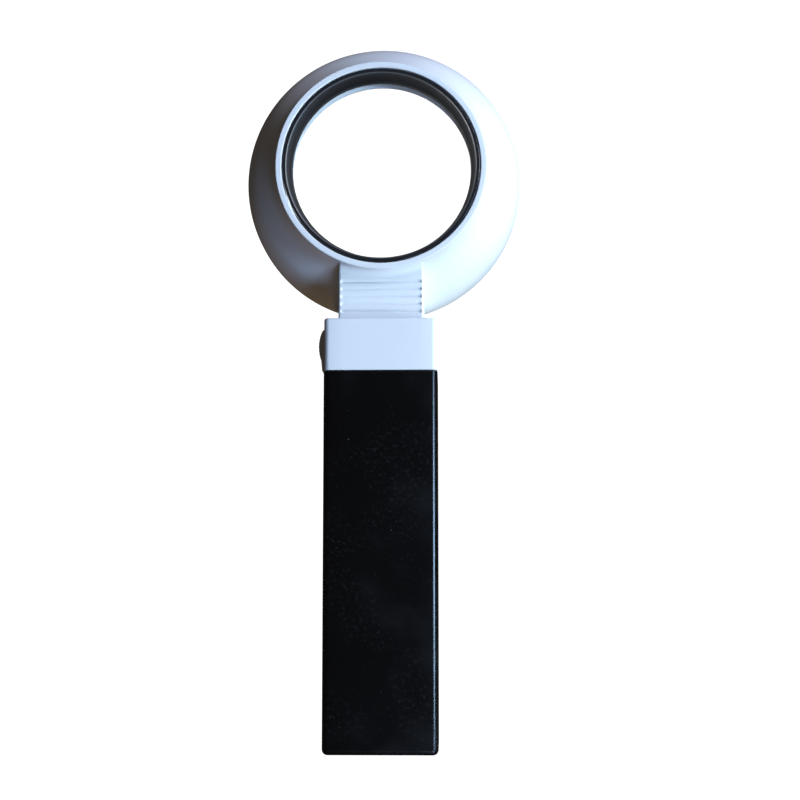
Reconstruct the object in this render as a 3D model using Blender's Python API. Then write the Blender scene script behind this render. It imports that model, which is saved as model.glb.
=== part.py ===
"""Illuminated low vision magnifier: a bell-shaped lens head on a pull-off neck, a switch collar and a handle.

Frame: metres, +X to the right, +Y towards the lens head, +Z up from the surface the magnifier lies on.
The origin is the middle of the object's outline at that surface.
"""

import math

import bmesh
import bpy
from mathutils import Matrix, Vector

MM = 0.001
GAP = 0.3 * MM  # clearance between touching pieces

# Lens head, turned about a vertical axis at HEAD_Y
HEAD_Y = 64.2 * MM
RIM_RADIUS = 41.8 * MM
BEZEL_TOP = 29.0 * MM
BEZEL_RADIUS = 31.15 * MM
BEZEL_EDGE = 0.35 * MM
SKIRT_SLOPE = math.radians(50)
SKIRT_HOLLOW_RADIUS = 14.0 * MM  # concave sweep below the bezel
SKIRT_SHOULDER_RADIUS = 19.0 * MM  # convex sweep above the rim
SKIRT_WALL = 2.0 * MM
RIM_CHAMFER = 0.3 * MM

# Lens and its barrel
BORE_RADIUS = 29.3 * MM
BARREL_BOTTOM = 16.0 * MM
LEDGE_RADIUS = 26.8 * MM
LENS_RADIUS = 28.9 * MM
LENS_SURFACE_RADIUS = 98.0 * MM
LENS_EDGE_LOW = 17.8 * MM
LENS_EDGE_HIGH = 20.4 * MM
RING_OPENING = 26.45 * MM
RING_LIP = 1.3 * MM
RING_TOP = 28.8 * MM
RING_TAPER_Z = 22.6 * MM  # the ring's tapered wall ends here, above a small chamfer
RING_CHAMFER_Z = 22.1 * MM
RING_FOOT_Z = 21.7 * MM

# Neck of the head, a box tube whose end plugs into the collar
NECK_HALF = 12.5 * MM
NECK_LOW = 4.0 * MM
NECK_HIGH = 26.0 * MM
NECK_WALL = 2.0 * MM
NECK_EDGE = 0.7 * MM
NECK_FILLET = 2.3 * MM
PLUG_DEPTH = 9.0 * MM
GROOVE_COUNT = 5
GROOVE_FIRST_Y = 29.9 * MM
GROOVE_PITCH = 2.2 * MM
GROOVE_RADIUS = 0.6 * MM
GROOVE_HALF = 11.9 * MM

# Handle: collar and battery sleeve share one section
HANDLE_HALF = 16.5 * MM
HANDLE_THICK = 30.0 * MM
HANDLE_MID = HANDLE_THICK / 2
SEAM_Y = 3.0 * MM
SLEEVE_END = -106.0 * MM
SLEEVE_WALL = 1.8 * MM
SLEEVE_FLOOR = 1.6 * MM
SLEEVE_EDGE = 1.4 * MM
COLLAR_INSET = 0.1 * MM  # the collar is this much slimmer all round than the sleeve
COLLAR_TOP = 18.6 * MM
COLLAR_EDGE = 1.1 * MM
COLLAR_BULKHEAD = 6.0 * MM
COLLAR_BULKHEAD_THICK = 2.0 * MM

# Thumb switch on the collar's -X side
SWITCH_Y = 11.5 * MM
SWITCH_RADIUS = 11.0 * MM
SWITCH_PEAK = 18.66 * MM
SWITCH_PLATE = 17.65 * MM
SWITCH_LOW_END = 4.2 * MM
SWITCH_HALF = 4.6 * MM
SWITCH_STEM_HALF = 1.6 * MM
SWITCH_RIBS = 5
SWITCH_RIB_PITCH = 1.3 * MM
SWITCH_RIB_RADIUS = 0.28 * MM
SWITCH_RIB_RISE = 0.12 * MM  # the rib grooves' middles stand this far proud of the dome
SLOT_LOW_Y = 8.8 * MM
SLOT_HIGH_Y = 16.0 * MM
SLOT_HALF = 2.1 * MM
STEM_LOW_Y = 9.3 * MM
STEM_HIGH_Y = 13.3 * MM
STEM_END = 14.4 * MM
POCKET_REACH = 15.2 * MM
POCKET_HALF = 6.0 * MM
CATCH_POCKET_REACH = 14.6 * MM
CATCH_POCKET_HALF = 4.0 * MM
BRIDGE_HALF = 4.6 * MM
CONTACT_HALF = 1.3 * MM
CONTACT_OFFSET = 3.6 * MM
WIRE_HOLE_RADIUS = 2.4 * MM

# Two size C cells, end to end
CELL_RADIUS = 12.9 * MM
CELL_BODY = 48.5 * MM
CELL_CAP_RADIUS = 3.7 * MM
CELL_CAP = 1.5 * MM
CELL_STACK_TOP = 2.3 * MM

# Battery carrier between the cells and the sleeve
RAIL_INNER = 13.2 * MM
RAIL_OUTER = 14.4 * MM
RAIL_HALF = 9.0 * MM
CARRIER_END_THICK = 1.8 * MM
STRIP_THICK = 0.35 * MM
SCREW_SPOTS = ((-10.0 * MM, 21.5 * MM), (10.0 * MM, 8.5 * MM))
SCREW_HEAD_RADIUS = 1.9 * MM
SCREW_SHANK_RADIUS = 0.9 * MM
SCREW_HOLE_RADIUS = 1.2 * MM

# Screw-base lamp standing in the neck
LAMP_Z = 12.2 * MM
LAMP_CAP_RADIUS = 4.6 * MM
LAMP_CAP_LOW = 9.6 * MM
LAMP_CAP_HIGH = 19.4 * MM
LAMP_GLOBE_RADIUS = 5.5 * MM
LAMP_GLOBE_Y = 25.0 * MM
HOLDER_RADIUS = 6.1 * MM
HOLDER_BORE = 5.2 * MM
HOLDER_TOP = 16.0 * MM

ROUND_STEPS = 40
HEAD_STEPS = 72


def material(name, colour, roughness, metallic=0.0, alpha=1.0):
    made = bpy.data.materials.new(name)
    made.use_nodes = True
    shader = made.node_tree.nodes["Principled BSDF"]
    shader.inputs["Base Color"].default_value = (*colour, 1.0)
    shader.inputs["Roughness"].default_value = roughness
    shader.inputs["Metallic"].default_value = metallic
    shader.inputs["Alpha"].default_value = alpha
    return made


def place(name, bm, finish=None):
    """Turns a bmesh into a named object. With no finish it is a cutter, which the build leaves out."""
    bmesh.ops.recalc_face_normals(bm, faces=bm.faces)
    mesh = bpy.data.meshes.new(name)
    bm.to_mesh(mesh)
    bm.free()
    mesh.shade_smooth()
    mesh.set_sharp_from_angle(angle=math.radians(32))
    made = bpy.data.objects.new(name, mesh)
    bpy.context.scene.collection.objects.link(made)
    if finish:
        mesh.materials.append(finish)
    else:
        made.hide_render = True
        made.display_type = "WIRE"
    return made


def boolean(target, tool, operation):
    step = target.modifiers.new(tool.name, "BOOLEAN")
    step.operation = operation
    step.solver = "EXACT"
    step.object = tool


def cut(target, *tools):
    for tool in tools:
        boolean(target, tool, "DIFFERENCE")


def join(target, *tools):
    for tool in tools:
        boolean(target, tool, "UNION")


def add_block(bm, low, high, edge=0.0, along="", segments=4):
    """Adds a box between two corners, with the edges that run along the named axes rounded."""
    low, high = Vector(low), Vector(high)
    size = high - low
    middle = (low + high) / 2
    turn = Matrix.Translation(middle) @ Matrix.Diagonal((*size, 1.0))
    made = bmesh.ops.create_cube(bm, size=1.0, matrix=turn)["verts"]
    if edge:
        axes = ["xyz".index(letter) for letter in along]
        edges = {e for v in made for e in v.link_edges}
        chosen = []
        for e in edges:
            run = e.verts[1].co - e.verts[0].co
            if max(range(3), key=lambda i: abs(run[i])) in axes:
                chosen.append(e)
        bmesh.ops.bevel(
            bm, geom=chosen, offset=edge, segments=segments, profile=0.5, affect="EDGES", clamp_overlap=True
        )


def block(name, low, high, finish=None, edge=0.0, along="", segments=4):
    bm = bmesh.new()
    add_block(bm, low, high, edge, along, segments)
    return place(name, bm, finish)


def add_lathe(bm, outline, centre, axis, steps):
    """Adds a solid turned about an axis through centre, from (radius, height along the axis) pairs."""
    axis = Vector(axis)
    out = Vector((1, 0, 0))
    before = set(bm.verts)
    verts = [bm.verts.new(Vector(centre) + out * r + axis * h) for r, h in outline]
    edges = []
    for i, first in enumerate(verts):
        second = verts[(i + 1) % len(verts)]
        on_axis = outline[i][0] == 0 and outline[(i + 1) % len(verts)][0] == 0
        if not on_axis:
            edges.append(bm.edges.new((first, second)))
    bmesh.ops.spin(
        bm, geom=verts + edges, cent=centre, axis=axis, angle=math.tau, steps=steps, use_merge=True
    )
    made = [v for v in bm.verts if v not in before]
    bmesh.ops.remove_doubles(bm, verts=made, dist=1e-7)


def lathe(name, outline, centre, axis, finish=None, steps=ROUND_STEPS):
    bm = bmesh.new()
    add_lathe(bm, outline, centre, axis, steps)
    return place(name, bm, finish)


def rod(name, start, end, radius, finish=None, steps=ROUND_STEPS):
    start, end = Vector(start), Vector(end)
    length = (end - start).length
    outline = [(0, 0), (radius, 0), (radius, length), (0, length)]
    return lathe(name, outline, start, (end - start).normalized(), finish, steps)


def prism(name, outline, low, high, finish=None):
    """An outline of (x, y) points, extruded from one height to the other."""
    bm = bmesh.new()
    base = bm.faces.new([bm.verts.new((x, y, low)) for x, y in outline])
    grown = bmesh.ops.extrude_face_region(bm, geom=[base])["geom"]
    lifted = [part for part in grown if isinstance(part, bmesh.types.BMVert)]
    bmesh.ops.translate(bm, verts=lifted, vec=(0, 0, high - low))
    return place(name, bm, finish)


def arc(centre, radius, start, end, steps):
    """Points on an arc, both ends included. Angles are in radians from the first axis."""
    turn = [start + (end - start) * i / steps for i in range(steps + 1)]
    return [(centre[0] + radius * math.cos(a), centre[1] + radius * math.sin(a)) for a in turn]


def skirt_line(offset=0.0):
    """The bell from top to bottom, moved inwards by an offset: a hollow sweep, a slope, then a shoulder."""
    top = BEZEL_TOP - BEZEL_EDGE
    sweeps = SKIRT_HOLLOW_RADIUS + SKIRT_SHOULDER_RADIUS
    across = RIM_RADIUS - BEZEL_RADIUS - sweeps * (1 - math.sin(SKIRT_SLOPE))
    straight = across / math.cos(SKIRT_SLOPE)
    shoulder_z = top - sweeps * math.cos(SKIRT_SLOPE) - straight * math.sin(SKIRT_SLOPE)
    lean = math.pi / 2 - SKIRT_SLOPE
    hollow = arc(
        (BEZEL_RADIUS + SKIRT_HOLLOW_RADIUS, top),
        SKIRT_HOLLOW_RADIUS + offset,
        math.pi,
        math.pi + lean,
        6,
    )
    shoulder = arc(
        (RIM_RADIUS - SKIRT_SHOULDER_RADIUS, shoulder_z),
        SKIRT_SHOULDER_RADIUS - offset,
        lean,
        0,
        6,
    )
    return hollow + shoulder


def head_outline():
    """The head's outside, as a solid bell."""
    flat = BEZEL_RADIUS - BEZEL_EDGE
    edge = arc((flat, BEZEL_TOP - BEZEL_EDGE), BEZEL_EDGE, math.pi / 2, 0, 3)
    rim = [(RIM_RADIUS, RIM_CHAMFER), (RIM_RADIUS - RIM_CHAMFER, 0)]
    return [(0, BEZEL_TOP)] + edge + skirt_line()[1:] + rim + [(0, 0)]


def head_void_outline():
    """What is empty inside the head: the lens bore, its ledge, and the space under the skirt."""
    below, above = -2 * MM, BEZEL_TOP + 2 * MM
    line = [point for point in skirt_line(SKIRT_WALL) if point[0] > BEZEL_RADIUS]
    reach = SKIRT_HOLLOW_RADIUS + SKIRT_WALL
    drop = math.sqrt(reach**2 - SKIRT_HOLLOW_RADIUS**2)
    meet = (BEZEL_RADIUS, BEZEL_TOP - BEZEL_EDGE - drop)
    bore = [
        (BORE_RADIUS, above),
        (BORE_RADIUS, LENS_EDGE_LOW - 0.45 * MM),
        (LEDGE_RADIUS, LENS_EDGE_LOW - 1.0 * MM),
        (LEDGE_RADIUS, BARREL_BOTTOM),
        (BEZEL_RADIUS, BARREL_BOTTOM),
    ]
    return [(0, above)] + bore + [meet] + line + [(RIM_RADIUS - SKIRT_WALL, below), (0, below)]


def capsule(name, start, end, radius):
    """A round-ended rod along X, used to cut a grip groove."""
    length = end[0] - start[0]
    first = arc((0, 0), radius, math.pi, math.pi / 2, 5)
    last = arc((length, 0), radius, math.pi / 2, 0, 5)
    outline = [(max(r, 0), h) for h, r in first + last]
    outline[0] = (0, outline[0][1])
    outline[-1] = (0, outline[-1][1])
    bm = bmesh.new()
    axis = Vector((1, 0, 0))
    verts = [bm.verts.new(Vector(start) + Vector((h, r, 0))) for r, h in outline]
    edges = [bm.edges.new(pair) for pair in zip(verts, verts[1:])]
    bmesh.ops.spin(bm, geom=verts + edges, cent=start, axis=axis, angle=math.tau, steps=12, use_merge=True)
    bmesh.ops.remove_doubles(bm, verts=bm.verts, dist=1e-7)
    return place(name, bm)


def make_head(white):
    """One white moulding: bezel, bell skirt and hollow neck."""
    up = (0, 0, 1)
    centre = (0, HEAD_Y, 0)
    neck_end = COLLAR_TOP - PLUG_DEPTH
    bezel_front = HEAD_Y - BEZEL_RADIUS
    head = lathe("head_housing", head_outline(), centre, up, white, HEAD_STEPS)

    neck = block(
        "neck_block",
        (-NECK_HALF, neck_end, NECK_LOW),
        (NECK_HALF, bezel_front + 2 * MM, NECK_HIGH),
        edge=NECK_EDGE,
        along="y",
    )
    for i in range(GROOVE_COUNT):
        y = GROOVE_FIRST_Y - i * GROOVE_PITCH
        reach = GROOVE_HALF - GROOVE_RADIUS
        z = NECK_HIGH + 0.05 * MM
        cut(neck, capsule(f"grip_groove_{i + 1}", (-reach, y, z), (reach, y, z), GROOVE_RADIUS))

    sunk = 0.04 * MM  # the fillet dips this far into the faces that it blends
    foot_in = BEZEL_RADIUS - 0.5 * MM
    foot_low = NECK_HIGH - 1 * MM
    foot_centre = (BEZEL_RADIUS + NECK_FILLET - sunk, NECK_HIGH + NECK_FILLET - sunk)
    sweep = arc(foot_centre, NECK_FILLET, math.pi, 1.5 * math.pi, 6)
    foot_outline = [(foot_in, foot_low), (foot_in, foot_centre[1]), *sweep, (foot_centre[0], foot_low)]
    foot = lathe("neck_foot", foot_outline, centre, up, steps=HEAD_STEPS)
    foot_half = NECK_HALF - NECK_EDGE
    span = block(
        "neck_foot_span",
        (-foot_half, bezel_front - 5 * MM, foot_low - 1 * MM),
        (foot_half, bezel_front + 9 * MM, BEZEL_TOP),
    )
    boolean(foot, span, "INTERSECT")
    join(head, neck, foot)

    void = lathe("head_void", head_void_outline(), centre, up, steps=HEAD_STEPS)
    inner = NECK_HALF - NECK_WALL
    channel = block(
        "neck_channel",
        (-inner, neck_end - 2 * MM, NECK_LOW + NECK_WALL),
        (inner, bezel_front - 2 * MM, NECK_HIGH - NECK_WALL),
    )
    cut(head, void, channel)


def lens_line(steps, high):
    """One face of the lens from its middle to its edge."""
    edge = LENS_EDGE_HIGH if high else LENS_EDGE_LOW
    depth = math.sqrt(LENS_SURFACE_RADIUS**2 - LENS_RADIUS**2)
    points = []
    for i in range(steps + 1):
        r = LENS_RADIUS * i / steps
        rise = math.sqrt(LENS_SURFACE_RADIUS**2 - r**2) - depth
        points.append((r, edge + rise if high else edge - rise))
    return points


def make_lens(glass):
    outline = lens_line(5, True) + lens_line(5, False)[::-1]
    return lathe("lens", outline, (0, HEAD_Y, 0), (0, 0, 1), glass, HEAD_STEPS)


def make_retaining_ring(black):
    """A black ring pressed into the bore over the lens, with a flat lip and a tapered inner wall."""
    outer = BORE_RADIUS - GAP
    lip = outer - RING_LIP
    outline = [
        (outer, RING_TOP),
        (lip + 0.1 * MM, RING_TOP),
        (lip, RING_TOP - 0.15 * MM),
        (RING_OPENING + 0.35 * MM, RING_TAPER_Z),
        (RING_OPENING, RING_CHAMFER_Z),
        (RING_OPENING, RING_FOOT_Z),
        (outer, LENS_EDGE_HIGH + 0.5 * MM),
    ]
    return lathe("lens_retaining_ring", outline, (0, HEAD_Y, 0), (0, 0, 1), black, HEAD_STEPS)


def make_reflector(bright):
    """A bent bright sheet under the neck's roof that sends the lamp's light down to the page."""
    half = NECK_HALF - NECK_WALL - GAP
    roof = NECK_HIGH - NECK_WALL - GAP
    thick = 0.5 * MM
    front = HEAD_Y - BEZEL_RADIUS - 2 * MM - GAP
    bend_y = front - 5 * MM
    tip_z = BARREL_BOTTOM + 0.4 * MM
    side = [
        (12.0 * MM, roof),
        (bend_y, roof),
        (front, tip_z),
        (front - thick, tip_z - 0.1 * MM),
        (bend_y - 0.25 * MM, roof - thick),
        (12.0 * MM, roof - thick),
    ]
    bm = bmesh.new()
    base = bm.faces.new([bm.verts.new((-half, y, z)) for y, z in side])
    grown = bmesh.ops.extrude_face_region(bm, geom=[base])["geom"]
    lifted = [part for part in grown if isinstance(part, bmesh.types.BMVert)]
    bmesh.ops.translate(bm, verts=lifted, vec=(2 * half, 0, 0))
    return place("light_reflector", bm, bright)


def make_collar(white):
    """White switch collar: a mouth for the neck, a bulkhead, and a recess for the battery carrier."""
    half = HANDLE_HALF - COLLAR_INSET
    low, high = COLLAR_INSET, HANDLE_THICK - COLLAR_INSET
    bottom = SEAM_Y + GAP
    corners = (-half, bottom, low), (half, COLLAR_TOP, high)
    collar = block("collar_housing", *corners, white, COLLAR_EDGE, "y", 5)
    bevel = collar.modifiers.new("mouth_edge", "BEVEL")
    bevel.width = 0.35 * MM
    bevel.segments = 2
    bevel.limit_method = "ANGLE"
    bevel.angle_limit = math.radians(60)
    mouth_half = NECK_HALF + GAP
    floor = COLLAR_BULKHEAD + COLLAR_BULKHEAD_THICK
    mouth = block(
        "collar_mouth",
        (-mouth_half, floor, NECK_LOW - GAP),
        (mouth_half, COLLAR_TOP + 2 * MM, NECK_HIGH + GAP),
        edge=NECK_EDGE,
        along="y",
    )
    recess = block(
        "carrier_recess",
        (-RAIL_OUTER - GAP, bottom - 2 * MM, SLEEVE_WALL),
        (RAIL_OUTER + GAP, COLLAR_BULKHEAD, HANDLE_THICK - SLEEVE_WALL),
    )
    slot = block(
        "switch_slot",
        (-half - 1 * MM, SLOT_LOW_Y, HANDLE_MID - SLOT_HALF),
        (-mouth_half + 1 * MM, SLOT_HIGH_Y, HANDLE_MID + SLOT_HALF),
    )
    switch_pocket = block(
        "switch_pocket",
        (-POCKET_REACH, floor - 0.2 * MM, HANDLE_MID - POCKET_HALF),
        (-mouth_half + 1 * MM, COLLAR_TOP - 1.2 * MM, HANDLE_MID + POCKET_HALF),
    )
    catch_pocket = block(
        "catch_pocket",
        (mouth_half - 1 * MM, floor + 0.5 * MM, HANDLE_MID - CATCH_POCKET_HALF),
        (CATCH_POCKET_REACH, COLLAR_TOP - 1.6 * MM, HANDLE_MID + CATCH_POCKET_HALF),
    )
    lamp_hole = rod(
        "lamp_hole",
        (0, COLLAR_BULKHEAD - 1 * MM, LAMP_Z),
        (0, floor + 1 * MM, LAMP_Z),
        WIRE_HOLE_RADIUS,
        steps=24,
    )
    cut(collar, mouth, recess, slot, switch_pocket, catch_pocket, lamp_hole)
    for i, (x, z) in enumerate(SCREW_SPOTS):
        hole = rod(
            f"bulkhead_hole_{i + 1}",
            (x, COLLAR_BULKHEAD - 1 * MM, z),
            (x, floor + 1 * MM, z),
            SCREW_HOLE_RADIUS,
            steps=16,
        )
        cut(collar, hole)
    return collar


def make_switch(white, brass):
    """The thumb slide: a domed pad on a low plate, with a stem through the slot that carries the bridge."""
    inner = HANDLE_HALF - COLLAR_INSET + GAP
    centre = (-SWITCH_PEAK + SWITCH_RADIUS, SWITCH_Y)
    rise = math.acos((SWITCH_RADIUS - (SWITCH_PEAK - SWITCH_PLATE)) / SWITCH_RADIUS)
    dome = arc(centre, SWITCH_RADIUS, math.pi - rise, math.pi + rise, 16)
    top = dome[0][1]
    outline = [(-inner, top + 0.5 * MM), (-SWITCH_PLATE + 0.4 * MM, top + 0.5 * MM)]
    outline += dome
    outline += [
        (-SWITCH_PLATE, SWITCH_LOW_END + 0.3 * MM),
        (-SWITCH_PLATE + 0.3 * MM, SWITCH_LOW_END),
        (-inner, SWITCH_LOW_END),
    ]
    slider = prism("switch_slider", outline, HANDLE_MID - SWITCH_HALF, HANDLE_MID + SWITCH_HALF, white)
    bevel = slider.modifiers.new("soft_edges", "BEVEL")
    bevel.width = 0.25 * MM
    bevel.segments = 2
    bevel.limit_method = "ANGLE"
    bevel.angle_limit = math.radians(50)
    stem = block(
        "switch_stem",
        (-inner - 0.5 * MM, STEM_LOW_Y, HANDLE_MID - SWITCH_STEM_HALF),
        (-STEM_END, STEM_HIGH_Y, HANDLE_MID + SWITCH_STEM_HALF),
    )
    join(slider, stem)
    for i in range(SWITCH_RIBS):
        y = SWITCH_Y + (i - (SWITCH_RIBS - 1) / 2) * SWITCH_RIB_PITCH
        x = centre[0] - math.sqrt(SWITCH_RADIUS**2 - (y - SWITCH_Y) ** 2) - SWITCH_RIB_RISE
        start = (x, y, HANDLE_MID - SWITCH_HALF - 1 * MM)
        end = (x, y, HANDLE_MID + SWITCH_HALF + 1 * MM)
        cut(slider, rod(f"switch_rib_groove_{i + 1}", start, end, SWITCH_RIB_RADIUS, steps=12))
    block(
        "switch_bridge",
        (-STEM_END + GAP, STEM_LOW_Y - 0.4 * MM, HANDLE_MID - BRIDGE_HALF),
        (-STEM_END + 0.7 * MM, STEM_HIGH_Y + 0.4 * MM, HANDLE_MID + BRIDGE_HALF),
        brass,
    )
    for side, name in ((-1, "low"), (1, "high")):
        z = HANDLE_MID + side * CONTACT_OFFSET
        block(
            f"switch_contact_{name}",
            (-13.3 * MM, 14.2 * MM, z - CONTACT_HALF),
            (-12.95 * MM, 17.0 * MM, z + CONTACT_HALF),
            brass,
        )


def make_catch(steel):
    """A bowed leaf in the collar that grips the plugged-in neck."""
    low, high = 9.0 * MM, 16.6 * MM
    middle, half = (low + high) / 2, (high - low) / 2
    sag = 0.55 * MM
    radius = (half**2 + sag**2) / (2 * sag)
    lean = math.asin(half / radius)
    peak = NECK_HALF + 0.4 * MM
    near = arc((peak + radius, middle), radius, math.pi + lean, math.pi - lean, 10)
    far = arc((peak + radius, middle), radius - STRIP_THICK, math.pi - lean, math.pi + lean, 10)
    prism("head_catch_spring", near + far, HANDLE_MID - 3 * MM, HANDLE_MID + 3 * MM, steel)


def make_lamp(white, brass, glass, solder):
    """A screw-base lamp in its holder, standing on the bulkhead with its globe in the neck."""
    along = (0, 1, 0)
    foot = COLLAR_BULKHEAD + COLLAR_BULKHEAD_THICK + GAP
    base = (0, 0, LAMP_Z)
    holder = [
        (2.0 * MM, foot),
        (HOLDER_RADIUS + 1.2 * MM, foot),
        (HOLDER_RADIUS + 1.2 * MM, foot + 1.0 * MM),
        (HOLDER_RADIUS, foot + 1.0 * MM),
        (HOLDER_RADIUS, HOLDER_TOP),
        (HOLDER_BORE, HOLDER_TOP),
        (HOLDER_BORE, foot + 1.0 * MM),
        (2.0 * MM, foot + 1.0 * MM),
    ]
    lathe("lamp_holder", holder, base, along, white, 32)

    turns, points = 4, 4
    thread_low, thread_high = LAMP_CAP_LOW + 1.4 * MM, LAMP_CAP_HIGH - 1.6 * MM
    wall = 0.4 * MM
    shell = [(2.6 * MM, LAMP_CAP_LOW), (LAMP_CAP_RADIUS - 0.6 * MM, LAMP_CAP_LOW + 0.5 * MM)]
    for i in range(turns * points + 1):
        h = thread_low + (thread_high - thread_low) * i / (turns * points)
        shell.append((LAMP_CAP_RADIUS - 0.2 * MM + 0.22 * MM * math.cos(math.tau * i / points), h))
    inner = LAMP_CAP_RADIUS - 0.42 * MM - wall
    shell += [
        (LAMP_CAP_RADIUS + 0.25 * MM, LAMP_CAP_HIGH - 0.6 * MM),
        (LAMP_CAP_RADIUS + 0.25 * MM, LAMP_CAP_HIGH),
        (inner, LAMP_CAP_HIGH),
        (inner, LAMP_CAP_LOW + 1.2 * MM),
        (2.2 * MM, LAMP_CAP_LOW + 0.7 * MM),
    ]
    lathe("lamp_cap", shell, base, along, brass, 24)

    tip = [(0, LAMP_CAP_LOW - 0.5 * MM), (1.2 * MM, LAMP_CAP_LOW - 0.3 * MM), (1.7 * MM, LAMP_CAP_LOW)]
    tip += [(1.7 * MM, LAMP_CAP_LOW + 1.2 * MM), (0, LAMP_CAP_LOW + 1.2 * MM)]
    lathe("lamp_tip_contact", tip, base, along, solder, 20)

    neck_radius = 3.6 * MM
    skin = 0.5 * MM
    neck_low = LAMP_CAP_HIGH + GAP
    lean = math.asin(neck_radius / LAMP_GLOBE_RADIUS)
    globe = arc((0, LAMP_GLOBE_Y), LAMP_GLOBE_RADIUS, math.pi / 2, -math.pi / 2 + lean, 9)
    hollow = arc((0, LAMP_GLOBE_Y), LAMP_GLOBE_RADIUS - skin, -math.pi / 2 + lean, math.pi / 2, 8)
    globe[0] = (0, globe[0][1])
    hollow[-1] = (0, hollow[-1][1])
    envelope = globe + [(neck_radius, neck_low), (neck_radius - skin, neck_low)] + hollow
    lathe("lamp_glass", envelope, base, along, glass, 24)


def make_carrier(black):
    """The battery carrier: a top plate screwed under the bulkhead, two side rails and an end plate."""
    plate_low, plate_high = SEAM_Y + 2 * GAP, COLLAR_BULKHEAD - GAP
    end = SLEEVE_END + SLEEVE_FLOOR + GAP
    low, high = SLEEVE_WALL + GAP, HANDLE_THICK - SLEEVE_WALL - GAP
    carrier = block("battery_carrier", (-RAIL_OUTER, plate_low, low), (RAIL_OUTER, plate_high, high), black)
    foot = block(
        "carrier_foot",
        (-RAIL_OUTER, end, low),
        (RAIL_OUTER, end + CARRIER_END_THICK, high),
        edge=1 * MM,
        along="y",
    )
    rails = []
    for side, name in ((-1, "left"), (1, "right")):
        x = sorted((side * RAIL_INNER, side * RAIL_OUTER))
        rails.append(
            block(
                f"carrier_rail_{name}",
                (x[0], end + 0.5 * MM, HANDLE_MID - RAIL_HALF),
                (x[1], plate_high - 0.5 * MM, HANDLE_MID + RAIL_HALF),
            )
        )
    join(carrier, foot, *rails)
    groove = block(
        "conductor_groove",
        (RAIL_OUTER - 0.7 * MM, end + 1 * MM, HANDLE_MID - 2.2 * MM),
        (RAIL_OUTER + 1 * MM, plate_high + 1 * MM, HANDLE_MID + 2.2 * MM),
    )
    start, finish = (0, plate_low - 1 * MM, LAMP_Z), (0, plate_high + 1 * MM, LAMP_Z)
    wire_hole = rod("wire_hole", start, finish, WIRE_HOLE_RADIUS - 0.4 * MM, steps=20)
    cut(carrier, groove, wire_hole)
    for i, (x, z) in enumerate(SCREW_SPOTS):
        start, finish = (x, plate_low - 1 * MM, z), (x, plate_high + 1 * MM, z)
        hole = rod(f"carrier_hole_{i + 1}", start, finish, SCREW_HOLE_RADIUS, steps=16)
        cut(carrier, hole)


def make_carrier_screws(steel):
    head_high = SEAM_Y + GAP
    outline = [
        (0, head_high - 1.3 * MM),
        (1.3 * MM, head_high - 1.3 * MM),
        (SCREW_HEAD_RADIUS, head_high - 0.7 * MM),
        (SCREW_HEAD_RADIUS, head_high),
        (SCREW_SHANK_RADIUS, head_high),
        (SCREW_SHANK_RADIUS, COLLAR_BULKHEAD + 1.5 * MM),
        (0, COLLAR_BULKHEAD + 2.2 * MM),
    ]
    for i, (x, z) in enumerate(SCREW_SPOTS):
        lathe(f"carrier_screw_{i + 1}", outline, (x, 0, z), (0, 1, 0), steel, 20)


def make_cells(jacket, plated):
    """Two cells end to end, each a jacketed can and its plated positive cap."""
    top = CELL_STACK_TOP
    for number in (1, 2):
        can_top = top - CELL_CAP
        can_low = can_top - CELL_BODY
        edge = 0.8 * MM
        can = [
            (0, can_low),
            (CELL_RADIUS - edge, can_low),
            (CELL_RADIUS, can_low + edge),
            (CELL_RADIUS, can_top - edge),
            (CELL_RADIUS - edge, can_top),
            (0, can_top),
        ]
        lathe(f"cell_{number}_can", can, (0, 0, HANDLE_MID), (0, 1, 0), jacket, 48)
        cap_low = can_top + GAP
        cap = [
            (0, cap_low),
            (CELL_CAP_RADIUS + 2.2 * MM, cap_low),
            (CELL_CAP_RADIUS + 2.2 * MM, cap_low + 0.3 * MM),
            (CELL_CAP_RADIUS, cap_low + 0.3 * MM),
            (CELL_CAP_RADIUS - 0.3 * MM, top),
            (0, top),
        ]
        lathe(f"cell_{number}_cap", cap, (0, 0, HANDLE_MID), (0, 1, 0), plated, 24)
        top = can_low - GAP
    return top


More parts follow.
